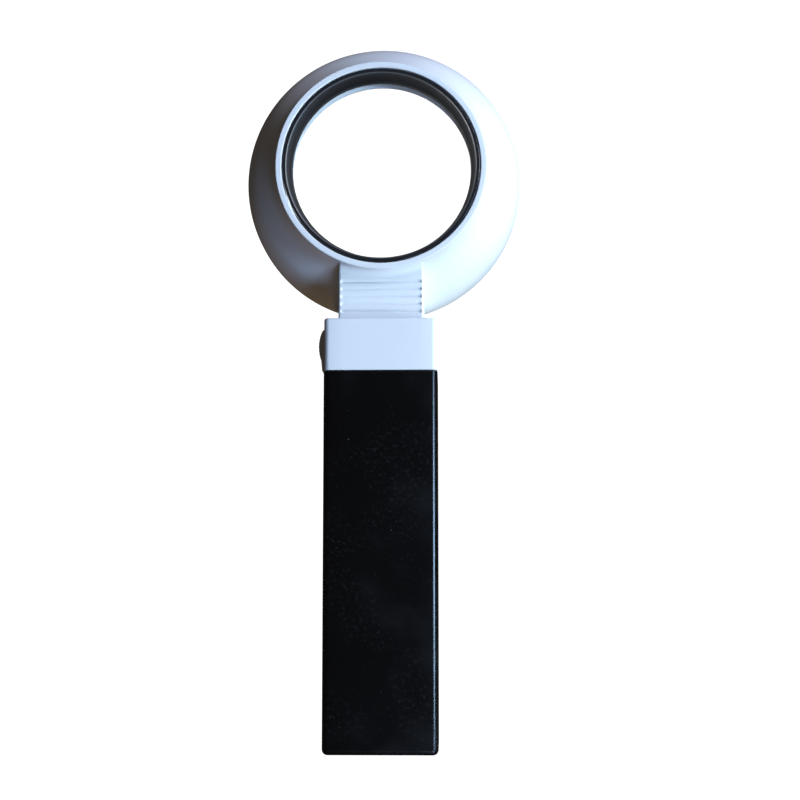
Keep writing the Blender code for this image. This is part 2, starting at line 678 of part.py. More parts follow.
def make_contacts(stack_low, brass, steel):
    """Current path: a leaf above the cells, a cone spring and plate below, and a strip back up the rail."""
    leaf_low = CELL_STACK_TOP + GAP
    block(
        "top_contact",
        (-6 * MM, leaf_low, HANDLE_MID - 3 * MM),
        (6 * MM, leaf_low + STRIP_THICK, HANDLE_MID + 3 * MM),
        brass,
    )
    plate_low = SLEEVE_END + SLEEVE_FLOOR + GAP + CARRIER_END_THICK + GAP
    plate_high = plate_low + STRIP_THICK
    block(
        "spring_plate",
        (-9 * MM, plate_low, HANDLE_MID - 9 * MM),
        (9 * MM, plate_high, HANDLE_MID + 9 * MM),
        brass,
        edge=2 * MM,
        along="y",
    )
    strip_low = plate_low + 1 * MM
    block(
        "side_conductor",
        (RAIL_OUTER - 0.4 * MM, strip_low, HANDLE_MID - 1.8 * MM),
        (RAIL_OUTER - 0.4 * MM + STRIP_THICK, COLLAR_BULKHEAD - 2 * GAP, HANDLE_MID + 1.8 * MM),
        brass,
    )
    wire = 0.35 * MM
    turns, per_turn = 2.5, 14
    low, high = plate_high + GAP + wire, stack_low - wire
    wide, narrow = 7.5 * MM, 4.0 * MM
    count = round(turns * per_turn)
    curve = bpy.data.curves.new("contact_spring", "CURVE")
    curve.dimensions = "3D"
    curve.bevel_depth = wire
    curve.bevel_resolution = 2
    curve.use_fill_caps = True
    spline = curve.splines.new("POLY")
    spline.points.add(count)
    for i, point in enumerate(spline.points):
        t = i / count
        turn = math.tau * turns * t
        radius = wide + (narrow - wide) * t
        y = low + (high - low) * t
        point.co = (radius * math.cos(turn), y, HANDLE_MID + radius * math.sin(turn), 1.0)
    spring = bpy.data.objects.new("contact_spring", curve)
    curve.materials.append(steel)
    bpy.context.scene.collection.objects.link(spring)


def make_sleeve(black):
    """The black battery sleeve, closed at its far end, which pulls off the carrier."""
    bm = bmesh.new()
    add_block(bm, (-HANDLE_HALF, SLEEVE_END, 0), (HANDLE_HALF, SEAM_Y, HANDLE_THICK))
    far = [e for e in bm.edges if all(v.co.y < SLEEVE_END + MM for v in e.verts)]
    long = [e for e in bm.edges if abs(e.verts[0].co.y - e.verts[1].co.y) > MM]
    bmesh.ops.bevel(bm, geom=far + long, offset=SLEEVE_EDGE, segments=5, profile=0.5, affect="EDGES")
    sleeve = place("battery_sleeve", bm, black)
    void = block(
        "sleeve_void",
        (-HANDLE_HALF + SLEEVE_WALL, SLEEVE_END + SLEEVE_FLOOR, SLEEVE_WALL),
        (HANDLE_HALF - SLEEVE_WALL, SEAM_Y + 2 * MM, HANDLE_THICK - SLEEVE_WALL),
    )
    cut(sleeve, void)


def main():
    for old in list(bpy.data.objects):
        bpy.data.objects.remove(old)

    white = material("white_plastic", (0.82, 0.84, 0.86), 0.38)
    inner_white = material("holder_plastic", (0.78, 0.78, 0.76), 0.5)
    black = material("black_plastic", (0.012, 0.013, 0.015), 0.42)
    ring_black = material("ring_black", (0.02, 0.021, 0.023), 0.35)
    carrier_black = material("carrier_plastic", (0.02, 0.02, 0.02), 0.6)
    lens_glass = material("lens_glass", (0.95, 0.97, 0.98), 0.02, alpha=0.15)
    lamp_glass = material("lamp_glass", (0.95, 0.96, 0.95), 0.03, alpha=0.3)
    brass = material("brass", (0.72, 0.52, 0.22), 0.3, 1.0)
    steel = material("spring_steel", (0.6, 0.6, 0.6), 0.28, 1.0)
    bright = material("reflector_sheet", (0.9, 0.9, 0.9), 0.12, 1.0)
    solder = material("solder", (0.5, 0.5, 0.52), 0.4, 1.0)
    jacket = material("cell_jacket", (0.30, 0.31, 0.33), 0.35)
    plated = material("cell_cap", (0.7, 0.7, 0.69), 0.22, 1.0)

    make_head(white)
    make_lens(lens_glass)
    make_retaining_ring(ring_black)
    make_reflector(bright)
    make_collar(white)
    make_switch(white, brass)
    make_catch(steel)
    make_lamp(inner_white, brass, lamp_glass, solder)
    make_carrier(carrier_black)
    make_carrier_screws(steel)
    stack_low = make_cells(jacket, plated)
    make_contacts(stack_low, brass, steel)
    make_sleeve(black)


main()
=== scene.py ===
"""Looks of the illuminated low vision magnifier: white bell head, switch collar and black battery handle.

Every piece is built where it stands, in metres. Each section below makes one piece or group of like pieces.
"""

import math

import bmesh
import bpy
import numpy as np
from mathutils import Matrix, Vector


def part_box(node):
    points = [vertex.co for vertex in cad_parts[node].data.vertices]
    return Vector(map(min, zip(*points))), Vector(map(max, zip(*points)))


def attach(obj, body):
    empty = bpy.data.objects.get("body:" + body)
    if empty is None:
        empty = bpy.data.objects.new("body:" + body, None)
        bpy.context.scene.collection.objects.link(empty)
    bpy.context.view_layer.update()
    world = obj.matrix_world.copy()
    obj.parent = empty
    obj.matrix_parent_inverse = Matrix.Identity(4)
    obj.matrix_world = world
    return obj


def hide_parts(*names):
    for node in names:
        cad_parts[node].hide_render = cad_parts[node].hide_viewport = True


MM = 0.001
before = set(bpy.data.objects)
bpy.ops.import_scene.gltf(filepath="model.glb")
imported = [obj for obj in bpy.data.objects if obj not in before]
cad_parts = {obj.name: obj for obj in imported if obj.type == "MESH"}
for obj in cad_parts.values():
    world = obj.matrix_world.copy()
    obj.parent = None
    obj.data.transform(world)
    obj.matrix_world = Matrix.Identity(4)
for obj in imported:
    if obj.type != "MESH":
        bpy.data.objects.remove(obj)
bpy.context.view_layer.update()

# ----------------------------------------------------------------------
# Camera: almost straight above, leaning a few degrees towards the handle's end and to the right.
camera_azimuth = math.radians(12.92)
camera_height = math.radians(83.12)
camera_distance = 485.9 * MM
camera_target = Vector((5.24, -3.76, 15.0)) * MM

back = Vector((
    math.sin(camera_azimuth) * math.cos(camera_height),
    -math.cos(camera_azimuth) * math.cos(camera_height),
    math.sin(camera_height),
))
right = (-back).cross(Vector((0, 1, 0))).normalized()
upward = right.cross(-back).normalized()
turn = Matrix((right, upward, back)).transposed().to_4x4()


def placed(name, data):
    """A new object at the origin of the scene."""
    made = bpy.data.objects.new(name, data)
    bpy.context.scene.collection.objects.link(made)
    return made


camera_data = bpy.data.cameras.new("camera")
camera_data.lens = 73.7
camera_data.sensor_width = 36.0
camera_data.clip_start = 0.01
camera = placed("camera", camera_data)
camera.matrix_world = Matrix.Translation(camera_target + back * camera_distance) @ turn
bpy.context.scene.camera = camera
bpy.context.scene.view_settings.view_transform = "Standard"


# ----------------------------------------------------------------------
# Floor and lights: a plain white floor that is evenly bright and out of the lights' reach, a cool soft key from the
# right with three softer lights round it, and two weak warm ones from below, as a table throws back. The floor's
# finish is the first one, and a finish is written as formulas on sockets.
class Wire:
    """One socket. Sums, differences and products of Wires and numbers add Math nodes."""

    def __init__(self, finish, socket):
        self.finish = finish
        self.socket = socket

    def math(self, operation, *values):
        return self.finish.node("ShaderNodeMath", {"operation": operation}, dict(enumerate(values)))

    def __add__(self, other):
        return self.math("ADD", self, other)

    def __radd__(self, other):
        return self.math("ADD", other, self)

    def __sub__(self, other):
        return self.math("SUBTRACT", self, other)

    def __rsub__(self, other):
        return self.math("SUBTRACT", other, self)

    def __mul__(self, other):
        return self.math("MULTIPLY", self, other)

    def __rmul__(self, other):
        return self.math("MULTIPLY", other, self)

    def over(self, low, high):
        """0 below low, 1 above high, and a smooth step between them."""
        settings = {"interpolation_type": "SMOOTHSTEP"}
        inputs = {"Value": self, "From Min": low, "From Max": high}
        return self.finish.node("ShaderNodeMapRange", settings, inputs)


class Finish:
    """A material with one Principled shader, and the method that adds any other node."""

    def __init__(self, name, **constants):
        self.material = bpy.data.materials.new(name)
        self.material.use_nodes = True
        self.tree = self.material.node_tree
        self.shader = self.tree.nodes["Principled BSDF"]
        for socket, value in constants.items():
            self.set(socket.replace("_", " "), value)
        self.place = self.node("ShaderNodeTexCoord", {}, {}, "Object")

    def node(self, kind, settings, inputs, output=0):
        made = self.tree.nodes.new(kind)
        for key, value in settings.items():
            setattr(made, key, value)
        for key, value in inputs.items():
            self.feed(made.inputs[key], value)
        return Wire(self, made.outputs[output])

    def feed(self, socket, value):
        if isinstance(value, Wire):
            self.tree.links.new(value.socket, socket)
        elif socket.type == "RGBA":
            socket.default_value = (*value, 1.0)
        else:
            socket.default_value = value

    def set(self, socket, value):
        self.feed(self.shader.inputs[socket], value)

    def noise(self, size, detail=3.0, roughness=0.5, stretch=(1, 1, 1), shift=(0, 0, 0)):
        """Smooth random values from 0 to 1 in blobs about size metres across, longer where stretch is small."""
        vector = self.node("ShaderNodeMapping", {}, {"Vector": self.place, "Scale": stretch, "Location": shift})
        inputs = {"Vector": vector, "Scale": 0.5 / size, "Detail": detail, "Roughness": roughness}
        return self.node("ShaderNodeTexNoise", {}, inputs, "Fac")

    def specks(self, spacing, size, seed):
        """1 on round specks of that size, one to each cell of a jittered lattice, and 0 elsewhere."""
        vector = self.node("ShaderNodeMapping", {}, {"Vector": self.place, "Location": (seed, seed * 2, seed)})
        inputs = {"Vector": vector, "Scale": 1.0 / spacing, "Randomness": 1.0}
        far = self.node("ShaderNodeTexVoronoi", {"feature": "F1"}, inputs, "Distance")
        return 1 - far.over(size / spacing * 0.6, size / spacing)

    def mix(self, factor, first, second):
        inputs = {0: factor, 6: first, 7: second}
        return self.node("ShaderNodeMix", {"data_type": "RGBA"}, inputs, 2)

    def colour(self, factor, first, second):
        self.set("Base Color", self.mix(factor, first, second))

    def through(self, factor, tint):
        """Lets light straight through, tinted. An outer face reflects that share of it, and an inner face none."""
        outside = 1 - self.node("ShaderNodeNewGeometry", {}, {}, "Backfacing")
        plain = self.node("ShaderNodeBsdfTransparent", {}, {"Color": tint})
        gloss = Wire(self, self.shader.outputs["BSDF"])
        mixed = self.node("ShaderNodeMixShader", {}, {0: outside * factor, 1: plain, 2: gloss})
        self.tree.links.new(mixed.socket, self.tree.nodes["Material Output"].inputs["Surface"])

    def bump(self, height, distance):
        """Height from 0 to 1 raised by that distance in metres."""
        self.set("Normal", self.node("ShaderNodeBump", {}, {"Height": height, "Distance": distance}))


floor_mesh = bpy.data.meshes.new("floor")
floor_half = 3.0
floor_level = -0.2 * MM
floor_mesh.from_pydata(
    [(x * floor_half, y * floor_half, floor_level) for x, y in ((-1, -1), (1, -1), (1, 1), (-1, 1))],
    [],
    [(0, 1, 2, 3)],
)
floor = placed("floor", floor_mesh)
floor_finish = Finish("floor_paper", Roughness=0.9, Base_Color=(0.93, 0.93, 0.93))
floor_finish.set("Specular IOR Level", 0.1)
floor_finish.set("Emission Color", (1.0, 1.0, 1.0))
floor_finish.set("Emission Strength", 1.1)
floor_finish.through(1.0, (1.0, 1.0, 1.0))
floor_mesh.materials.append(floor_finish.material)
floor.visible_diffuse = False
floor.visible_glossy = False

world = bpy.data.worlds.new("studio")
world.use_nodes = True
studio = world.node_tree
room = studio.nodes["Background"]
room.inputs["Color"].default_value = (1.0, 0.86, 0.76, 1.0)
room.inputs["Strength"].default_value = 0.043
paper = studio.nodes.new("ShaderNodeBackground")
paper.inputs["Color"].default_value = (1.0, 1.0, 1.0, 1.0)
paper.inputs["Strength"].default_value = 1.1
seen = studio.nodes.new("ShaderNodeLightPath")
backdrop = studio.nodes.new("ShaderNodeMixShader")
studio.links.new(seen.outputs["Is Camera Ray"], backdrop.inputs[0])
studio.links.new(room.outputs[0], backdrop.inputs[1])
studio.links.new(paper.outputs[0], backdrop.inputs[2])
studio.links.new(backdrop.outputs[0], studio.nodes["World Output"].inputs["Surface"])
bpy.context.scene.world = world

not_floor = bpy.data.collections.new("not_floor")
not_floor.objects.link(floor)
not_floor.collection_objects[0].light_linking.link_state = "EXCLUDE"


def studio_light(name, azimuth, height, distance, size, power, colour, lit=not_floor, blocked=None):
    """A square soft light that looks at the middle of the object. Azimuth is in degrees from +X towards +Y, and
    height is in degrees above the floor."""
    data = bpy.data.lights.new(name, "AREA")
    data.shape = "SQUARE"
    data.size = size
    data.energy = power
    data.color = colour
    made = placed(name, data)
    turn, lift = math.radians(azimuth), math.radians(height)
    aim = Vector((math.cos(turn) * math.cos(lift), math.sin(turn) * math.cos(lift), math.sin(lift)))
    facing = aim.to_track_quat("Z", "Y").to_matrix().to_4x4()
    made.matrix_world = Matrix.Translation(aim * distance + Vector((0, 0, 15 * MM))) @ facing
    made.light_linking.receiver_collection = lit
    made.light_linking.blocker_collection = blocked
    return made


studio_light("key_light", -3, 49, 0.80, 0.20, 4.3, (0.43, 0.68, 1.0))
low_light = studio_light("low_light", -12, 20, 0.60, 0.16, 2.7, (0.84, 0.97, 0.96))
low_light.visible_glossy = False
studio_light("side_light", 47, 22, 0.80, 0.22, 4.2, (0.72, 0.77, 1.0))
studio_light("front_light", -64, 42, 0.80, 0.22, 1.7, (0.50, 0.64, 1.0))
for name, azimuth, height, power, colour in (("warm_light", -104, -30, 0.75, (1.0, 0.58, 0.20)),
                                             ("under_light", 0, -88, 3.0, (1.0, 0.95, 0.90))):
    thrown_back = studio_light(name, azimuth, height, 1.00, 0.20, power, colour, not_floor, not_floor)
    thrown_back.visible_glossy = False


# ----------------------------------------------------------------------
# White plastic: the head, the neck, the collar and the switch are moulded in one smooth, slightly cool white. The
# surface has a faint flow ripple, hairline rubs in its gloss and a trace of dust in the colour.
white = Finish("white_plastic", Metallic=0.0)
white.set("IOR", 1.46)
cloud = white.noise(18 * MM, 3.0)
rub = white.noise(0.5 * MM, 2.0, 0.6, stretch=(1, 0.06, 1))
dust = white.specks(3.4 * MM, 0.16 * MM, 0.3)
tone = white.mix(cloud.over(0.3, 0.7), (0.80, 0.815, 0.825), (0.84, 0.85, 0.855))
white.colour(dust * 0.35, tone, (0.42, 0.45, 0.50))
white.set("Roughness", 0.34 + 0.08 * cloud + 0.07 * rub.over(0.55, 0.75))
white.bump(white.noise(1.1 * MM, 2.0) * 0.6 + white.noise(0.16 * MM, 2.0) * 0.4, 0.006 * MM)


# ----------------------------------------------------------------------
# Lens head: the bell is one white moulding turned about the lens axis, and the hollow neck with its grip grooves
# grows out of its front. They are joined into one skin, and the lamp's window is cut where they meet.
head_low, head_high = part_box("head_housing")
rim_radius = (head_high.x - head_low.x) / 2
head_axis = Vector((0, head_high.y - rim_radius, 0))
bezel_top = head_high.z
neck_end = head_low.y
ring_low, ring_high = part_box("lens_retaining_ring")
bore_radius = (ring_high.x - ring_low.x) / 2 + 0.3 * MM
bezel_radius = bore_radius + 1.85 * MM
skirt_slope = math.radians(50)
hollow_sweep = 14.0 * MM
shoulder_sweep = 19.0 * MM
skirt_wall = 2.0 * MM
barrel_low = 16.0 * MM
neck_half = 12.5 * MM
neck_low = 4.0 * MM
neck_top = 26.0 * MM
neck_wall = 2.0 * MM
neck_fillet = 2.3 * MM
neck_root = 30.3 * MM
neck_roof_level = 20.5 * MM
neck_ease = 0.7 * MM
groove_first, groove_pitch, groove_count = 29.9 * MM, 2.2 * MM, 5
groove_half, groove_reach = 0.62 * MM, 11.3 * MM
groove_depth = 0.45 * MM


def points(*columns):
    """Coordinates, each a number or an array, spread to one shape and put side by side."""
    return np.stack(np.broadcast_arrays(*columns), -1)


def arc(centre, radius, start, end, steps):
    """Points on an arc of that radius from one angle to the other, both ends included, as an array."""
    angle = np.linspace(start, end, steps + 1)
    return points(centre[0] + radius * np.cos(angle), centre[1] + radius * np.sin(angle))


def eased(corners, steps=4, hold=0.12 * MM):
    """Rounds an outline's corners, given as (across, up, radius). Each becomes an arc that meets both sides, with
    one more point just past each end, so that the flat beside it shades flat. A radius of 0 stays a corner."""
    corners = np.array(corners, float)
    found = []
    for i, (x, y, radius) in enumerate(corners):
        here = np.array((x, y))
        if radius == 0:
            found.append(here[None])
            continue
        before = corners[i - 1, :2] - here
        after = corners[(i + 1) % len(corners), :2] - here
        before, after = before / np.hypot(*before), after / np.hypot(*after)
        half = math.acos(np.clip(before @ after, -1, 1)) / 2
        reach = radius / math.tan(half)
        middle = (before + after) / np.hypot(*(before + after))
        centre = here + middle * radius / math.sin(half)
        first, last = here + before * reach - centre, here + after * reach - centre
        start = math.atan2(first[1], first[0])
        sweep = (math.atan2(last[1], last[0]) - start + math.pi) % math.tau - math.pi
        bend = arc(centre, radius, start, start + sweep, steps)
        found.append(np.vstack([bend[:1] + before * hold, bend, bend[-1:] + after * hold]))
    return np.vstack(found)


def around(outline, centre, axis, steps):
    """An outline of (radius, height) carried round an axis: the point at turn a is the centre, plus the height
    along the axis, plus the radius along the direction that a names."""
    axis = np.array(axis, float)
    side = np.array((0, 0, 1.0) if abs(axis[0]) > 0.5 else (1.0, 0, 0))
    other = np.cross(axis, side)
    angle = np.arange(steps) / steps * math.tau
    round_ = np.cos(angle)[:, None] * side + np.sin(angle)[:, None] * other
    radius, height = outline[:, 0, None, None], outline[:, 1, None, None]
    return np.array(centre) + radius * round_ + height * axis


def skin(name, grid, wrap_rows=False, capped=False):
    """A mesh over rows of points. Neighbouring rows join with quads, each row closes on itself, and with wrap_rows
    the last row joins the first. Rows drawn to one point become poles, and capped closes the two end rows."""
    rows, columns = grid.shape[:2]
    row = np.arange(rows if wrap_rows else rows - 1)
    a, b = np.meshgrid(row, np.arange(columns), indexing="ij")
    c, d = (a + 1) % rows, (b + 1) % columns
    faces = points(a * columns + b, a * columns + d, c * columns + d, c * columns + b).reshape(-1, 4).tolist()
    if capped:
        faces += [list(range(columns)), list(range((rows - 1) * columns, rows * columns))]
    mesh = bpy.data.meshes.new(name)
    mesh.from_pydata(grid.reshape(-1, 3).tolist(), [], faces)
    return tidy(mesh)


def turned(name, outline, centre, axis=(0, 1, 0), steps=96):
    """The mesh of an outline carried round an axis. An outline that starts off the axis closes on itself."""
    return skin(name, around(outline, centre, axis, steps), wrap_rows=outline[0, 0] > 1e-9)


def tidy(mesh):
    """Merges doubles, turns the faces outwards and shades smooth, with edges sharper than 40 degrees kept."""
    bm = bmesh.new()
    bm.from_mesh(mesh)
    bmesh.ops.remove_doubles(bm, verts=bm.verts, dist=1e-7)
    bmesh.ops.dissolve_degenerate(bm, edges=bm.edges, dist=1e-8)
    bmesh.ops.recalc_face_normals(bm, faces=bm.faces)
    bm.to_mesh(mesh)
    bm.free()
    mesh.shade_smooth()
    mesh.set_sharp_from_angle(angle=math.radians(40))
    return mesh


def piece(mesh, body, slot, finish, *nodes):
    """Puts a finished mesh on its body, with its material, and hides the CAD nodes that it stands for. The slot is
    not used.
    """
    made = placed(mesh.name, mesh)
    mesh.materials.clear()
    mesh.materials.append(finish.material)
    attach(made, body)
    if nodes:
        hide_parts(*nodes)
    return made


def combined(name, first, *steps):
    """The mesh left after joining or cutting a mesh with others, in turn. A step is an operation and a mesh."""
    base = placed(name, first)
    tools = [placed(mesh.name, mesh) for operation, mesh in steps]
    for (operation, mesh), tool in zip(steps, tools):
        step = base.modifiers.new(mesh.name, "BOOLEAN")
        step.operation = operation
        step.solver = "MANIFOLD"
        step.object = tool
    bpy.context.view_layer.update()
    graph = bpy.context.evaluated_depsgraph_get()
    mesh = bpy.data.meshes.new_from_object(base.evaluated_get(graph))
    for used in (base, *tools):
        spent = used.data
        bpy.data.objects.remove(used)
        bpy.data.meshes.remove(spent)
    mesh.name = name
    return tidy(mesh)


def extruded(name, outline, low, high):
    """An (x, y) outline raised from one height to the other and closed with a fan at each end."""
    centre = outline.mean(0)
    x, y = centre[:, None, None] + (outline - centre).T[:, None] * np.array([[0.0], [1.0], [1.0], [0.0]])
    return skin(name, points(x, y, np.array([[low], [low], [high], [high]])))


def slab(name, low, high):
    """A plain box between two corners, for a cut or a stem."""
    square = np.array([(low[0], low[1]), (high[0], low[1]), (high[0], high[1]), (low[0], high[1])])
    return extruded(name, square, low[2], high[2])


def skirt_line(offset=0.0):
    """The bell's side from bezel to rim: a hollow arc, a slope and a shoulder arc, moved in by an offset."""
    top = bezel_top - 0.35 * MM
    sweeps = hollow_sweep + shoulder_sweep
    across = rim_radius - bezel_radius - sweeps * (1 - math.sin(skirt_slope))
    straight = across / math.cos(skirt_slope)
    foot = top - sweeps * math.cos(skirt_slope) - straight * math.sin(skirt_slope)
    lean = math.pi / 2 - skirt_slope
    hollow = arc((bezel_radius + hollow_sweep, top), hollow_sweep + offset, math.pi, math.pi + lean, 22)
    shoulder = arc((rim_radius - shoulder_sweep, foot), shoulder_sweep - offset, lean, 0, 26)
    slope = np.linspace(hollow[-1], shoulder[0], 10)[1:-1]
    return np.vstack([hollow, slope, shoulder])


outer_line = skirt_line()
inner_line = skirt_line(skirt_wall)
inner_line = inner_line[inner_line[:, 0] > bezel_radius]
groin = (bezel_radius, bezel_top - 0.35 * MM - math.sqrt((hollow_sweep + skirt_wall) ** 2 - hollow_sweep**2))
ledge_radius, ledge_foot, ledge_top = 26.8 * MM, 16.8 * MM, 17.35 * MM
bezel_ease = 0.35 * MM
bezel_corners = [(bore_radius, bezel_top, 0.25 * MM), (bezel_radius, bezel_top, bezel_ease), (bezel_radius, 0, 0)]
bezel_edge = eased(bezel_corners, 5)
bezel_edge = bezel_edge[bezel_edge[:, 1] > bezel_top - bezel_ease - 0.01 * MM]
rim_edge = eased([(rim_radius, 0.01, 0), (rim_radius, 0, 0.5 * MM), (rim_radius - skirt_wall, 0, 0.5 * MM),
                  (rim_radius - skirt_wall, 0.01, 0)], 5)[1:-1]
seat = eased([
    (bezel_radius, 30 * MM, 0),
    (bezel_radius, barrel_low, 0.3 * MM),
    (ledge_radius, barrel_low, 0.3 * MM),
    (ledge_radius, ledge_foot, 0.15 * MM),
    (bore_radius, ledge_top, 0.15 * MM),
    (bore_radius, bezel_top - 1 * MM, 0),
], 4)[1:]
bell_outline = np.vstack([bezel_edge, outer_line[1:], rim_edge, inner_line[::-1], [groin], seat])
bell = turned("head_bell", bell_outline, head_axis, (0, 0, 1), 256)


def box_ring(half_wide, half_high, corner, steps, side_points):
    """One closed rounded rectangle of (across, up) points, with side_points more spread over each straight side."""
    share = (1 - np.cos(np.linspace(0, math.pi, side_points + 2))) / 2
    bends = []
    for quarter, (wide, high) in enumerate(((1, 1), (-1, 1), (-1, -1), (1, -1))):
        centre = (wide * (half_wide - corner), high * (half_high - corner))
        bends.append(arc(centre, corner, quarter * math.pi / 2, (quarter + 1) * math.pi / 2, steps))
    ring = []
    for bend, following in zip(bends, bends[1:] + bends[:1]):
        ring += [bend, bend[-1] + share[1:-1, None] * (following[0] - bend[-1])]
    return np.vstack(ring)


def neck_skin():
    """The neck's tube. A rounded rectangle is carried from inside the bell to the plug end and back along the
    inside. Along the top, the height is the flat, plus a fillet that climbs the bezel, less the grooves. The end
    inside the bell follows the bell's wall."""
    mid = (neck_low + neck_top) / 2
    outside = box_ring(neck_half, (neck_top - neck_low) / 2, neck_ease, 5, 64)
    inside = box_ring(neck_half - neck_wall, (neck_top - neck_low) / 2 - neck_wall, 0.05 * MM, 5, 64)
    line = inner_line[np.argsort(inner_line[:, 1])]

    def end_of(ring):
        """How far along Y each point of a section runs: to the bell's wall at its height."""
        height = ring[:, 1] + mid
        radius = np.interp(height, line[:, 1], line[:, 0]) + 0.12 * MM
        radius = np.where(height > neck_roof_level, neck_root, radius)
        return head_axis.y - np.sqrt(radius**2 - ring[:, 0] ** 2)

    fillet_out = bezel_radius + neck_fillet
    plain = np.linspace(neck_end + 0.8 * MM, groove_first - (groove_count - 0.4) * groove_pitch, 8)[:-1]
    dished = groove_half * np.sin(np.linspace(-math.pi / 2, math.pi / 2, 17))
    stride = np.append(dished, np.linspace(groove_half, groove_pitch - groove_half, 5)[1:-1])
    grooved = [groove_first - i * groove_pitch + stride for i in range(groove_count - 1, 0, -1)]
    grooved = np.concatenate([*grooved, groove_first + dished, [groove_first + 0.75 * MM]])
    climb = np.sin(np.linspace(0, math.pi / 2, 13))
    x = outside[:, 0]
    on_top = np.clip((outside[:, 1] + mid - (neck_top - neck_ease)) / neck_ease, 0, 1)
    circle = head_axis.y - np.sqrt(fillet_out**2 - x**2)
    rows = [np.full_like(x, y) for y in np.concatenate([plain, grooved])]
    rows += [grooved[-1] + (circle - grooved[-1]) * t for t in np.linspace(0, 1, 8)[1:-1]]
    rows += [head_axis.y - np.sqrt((fillet_out - neck_fillet * t) ** 2 - x**2) for t in climb]
    rows += [head_axis.y - np.sqrt(neck_root**2 - x**2)]
    along = np.array(rows)
    top_end = along[-1]
    squeeze = (end_of(outside) - neck_end) / (top_end - neck_end)
    squeeze = 1 + (squeeze - 1) * (1 - on_top)
    along_here = neck_end + (along - neck_end) * squeeze
    radius = np.hypot(x, along - head_axis.y)
    into = np.clip(fillet_out - radius, 0, neck_fillet)
    rise = neck_fillet - np.sqrt(neck_fillet**2 - into**2)
    dip = np.zeros_like(along)
    for i in range(groove_count):
        y = groove_first - i * groove_pitch
        off = np.hypot(np.maximum(abs(x) - groove_reach, 0), along - y)
        dip += np.clip(1 - (off / groove_half) ** 2, 0, 1) ** 1.1
    outer = points(x, along_here, outside[:, 1] + mid + on_top * (rise - groove_depth * dip))

    lip = 0.4 * MM
    plug = []
    for t in np.linspace(math.pi / 2, 0, 5):
        ring = outside * (1 - lip * (1 - math.sin(t)) / neck_half)
        plug.append(points(ring[:, 0], neck_end + lip * (1 - math.cos(t)), ring[:, 1] + mid))
    share = np.array([0.0, 0.02, 0.5, 1.0])[:, None]
    inner = points(inside[:, 0], neck_end + share * (end_of(inside) - neck_end), inside[:, 1] + mid)
    return skin("head_neck", np.concatenate([outer[::-1], plug, inner]), wrap_rows=True)


neck = neck_skin()
window_half = neck_half - neck_wall + 0.3 * MM
window = slab(
    "lamp_window",
    (-window_half, 15 * MM, neck_low + neck_wall - 0.3 * MM),
    (window_half, head_axis.y - bezel_radius - 2 * MM, neck_top - neck_wall + 0.3 * MM),
)
bell = combined("bell_with_window", bell, ("DIFFERENCE", window))
head = combined("lens_head", bell, ("UNION", neck))
piece(head, "head", "white_plastic", white, "head_housing")


# ----------------------------------------------------------------------
# Retaining ring: satin black plastic pressed into the bore above the lens. Its glossy lip shows as a thin black
# line, and its inner wall tapers down to the clear opening, with fine turned lines. The upper wall carries a
# painted sheen, lighter towards the lip. Two lights are for it alone.
ring_radius = (ring_high.x - ring_low.x) / 2
ring_lip = ring_radius - 1.3 * MM
clear_radius = 26.45 * MM
ring_outline = eased([
    (ring_radius, ring_high.z, 0.12 * MM),
    (ring_lip, ring_high.z, 0.75 * MM),
    (clear_radius + 0.35 * MM, 22.6 * MM, 0.25 * MM),
    (clear_radius, 22.1 * MM, 0.2 * MM),
    (clear_radius, 21.7 * MM, 0.1 * MM),
    (ring_radius, ring_low.z + 0.02 * MM, 0.1 * MM),
], 4, 0.06 * MM)
satin = Finish("ring_plastic")
level = satin.node("ShaderNodeSeparateXYZ", {}, {0: satin.place}, 2)
lines = satin.node(
    "ShaderNodeTexWave",
    {"wave_type": "BANDS", "bands_direction": "Z"},
    {"Vector": satin.place, "Scale": 500.0, "Distortion": 0.4, "Detail": 1.0},
    "Fac",
)
foot_shade = level.over(21.4 * MM, 22.9 * MM)
lip_shade = level.over(28.70 * MM, 28.79 * MM)
# Painted sheen: the inner wall's colour grows lighter from 24 mm up to the lip, standing in for a reflection.
painted_sheen = level.over(24.0 * MM, 28.6 * MM)
painted_sheen_tone = satin.mix(painted_sheen, (0.008, 0.0085, 0.0095), (0.017, 0.018, 0.020))
wall_tone = satin.mix(foot_shade, (0.034, 0.031, 0.028), painted_sheen_tone)
satin.colour(lip_shade, wall_tone, (0.004, 0.0045, 0.006))
satin.set("Roughness", 0.40 - 0.26 * lip_shade + 0.08 * satin.noise(3 * MM) + 0.05 * lines)
satin.bump(lines * 0.6 + satin.noise(0.12 * MM, 2.0) * 0.4, 0.008 * MM)
ring = turned("retaining_ring", ring_outline, head_axis, (0, 0, 1), 256)
ring = piece(ring, "head", "ring_plastic", satin, "lens_retaining_ring")
ring_only = bpy.data.collections.new("ring_only")
ring_only.objects.link(ring)
studio_light("ring_light", 25, 38, 0.80, 0.22, 9.5, (0.86, 0.92, 1.0), ring_only)
studio_light("ring_back_light", 180, 38, 0.80, 0.22, 12.0, (0.95, 0.98, 1.0), ring_only)


# ----------------------------------------------------------------------
# Lens: a polished biconvex disc, clear all through, with a fine-ground edge. It lies on the ledge in the bore.
lens_low, lens_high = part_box("lens")
lens_radius = (lens_high.x - lens_low.x) / 2
lens_curve = 98.0 * MM
lens_sag = lens_curve - math.sqrt(lens_curve**2 - lens_radius**2)
across = np.sin(np.linspace(0, math.pi / 2, 22)) * (lens_radius - 0.15 * MM)
crown = np.sqrt(lens_curve**2 - across**2) - lens_curve
upper_face = points(across, lens_high.z + crown)
lower_face = points(across, lens_low.z - crown)
edge_low, edge_high = lens_low.z + lens_sag, lens_high.z - lens_sag
edge = np.array([(lens_radius, edge_high - 0.15 * MM), (lens_radius, edge_low + 0.15 * MM)])
lens_outline = np.vstack([upper_face, edge, lower_face[::-1]])
clear = Finish("lens_glass", Roughness=0.0, Base_Color=(1.0, 1.0, 1.0), Metallic=1.0)
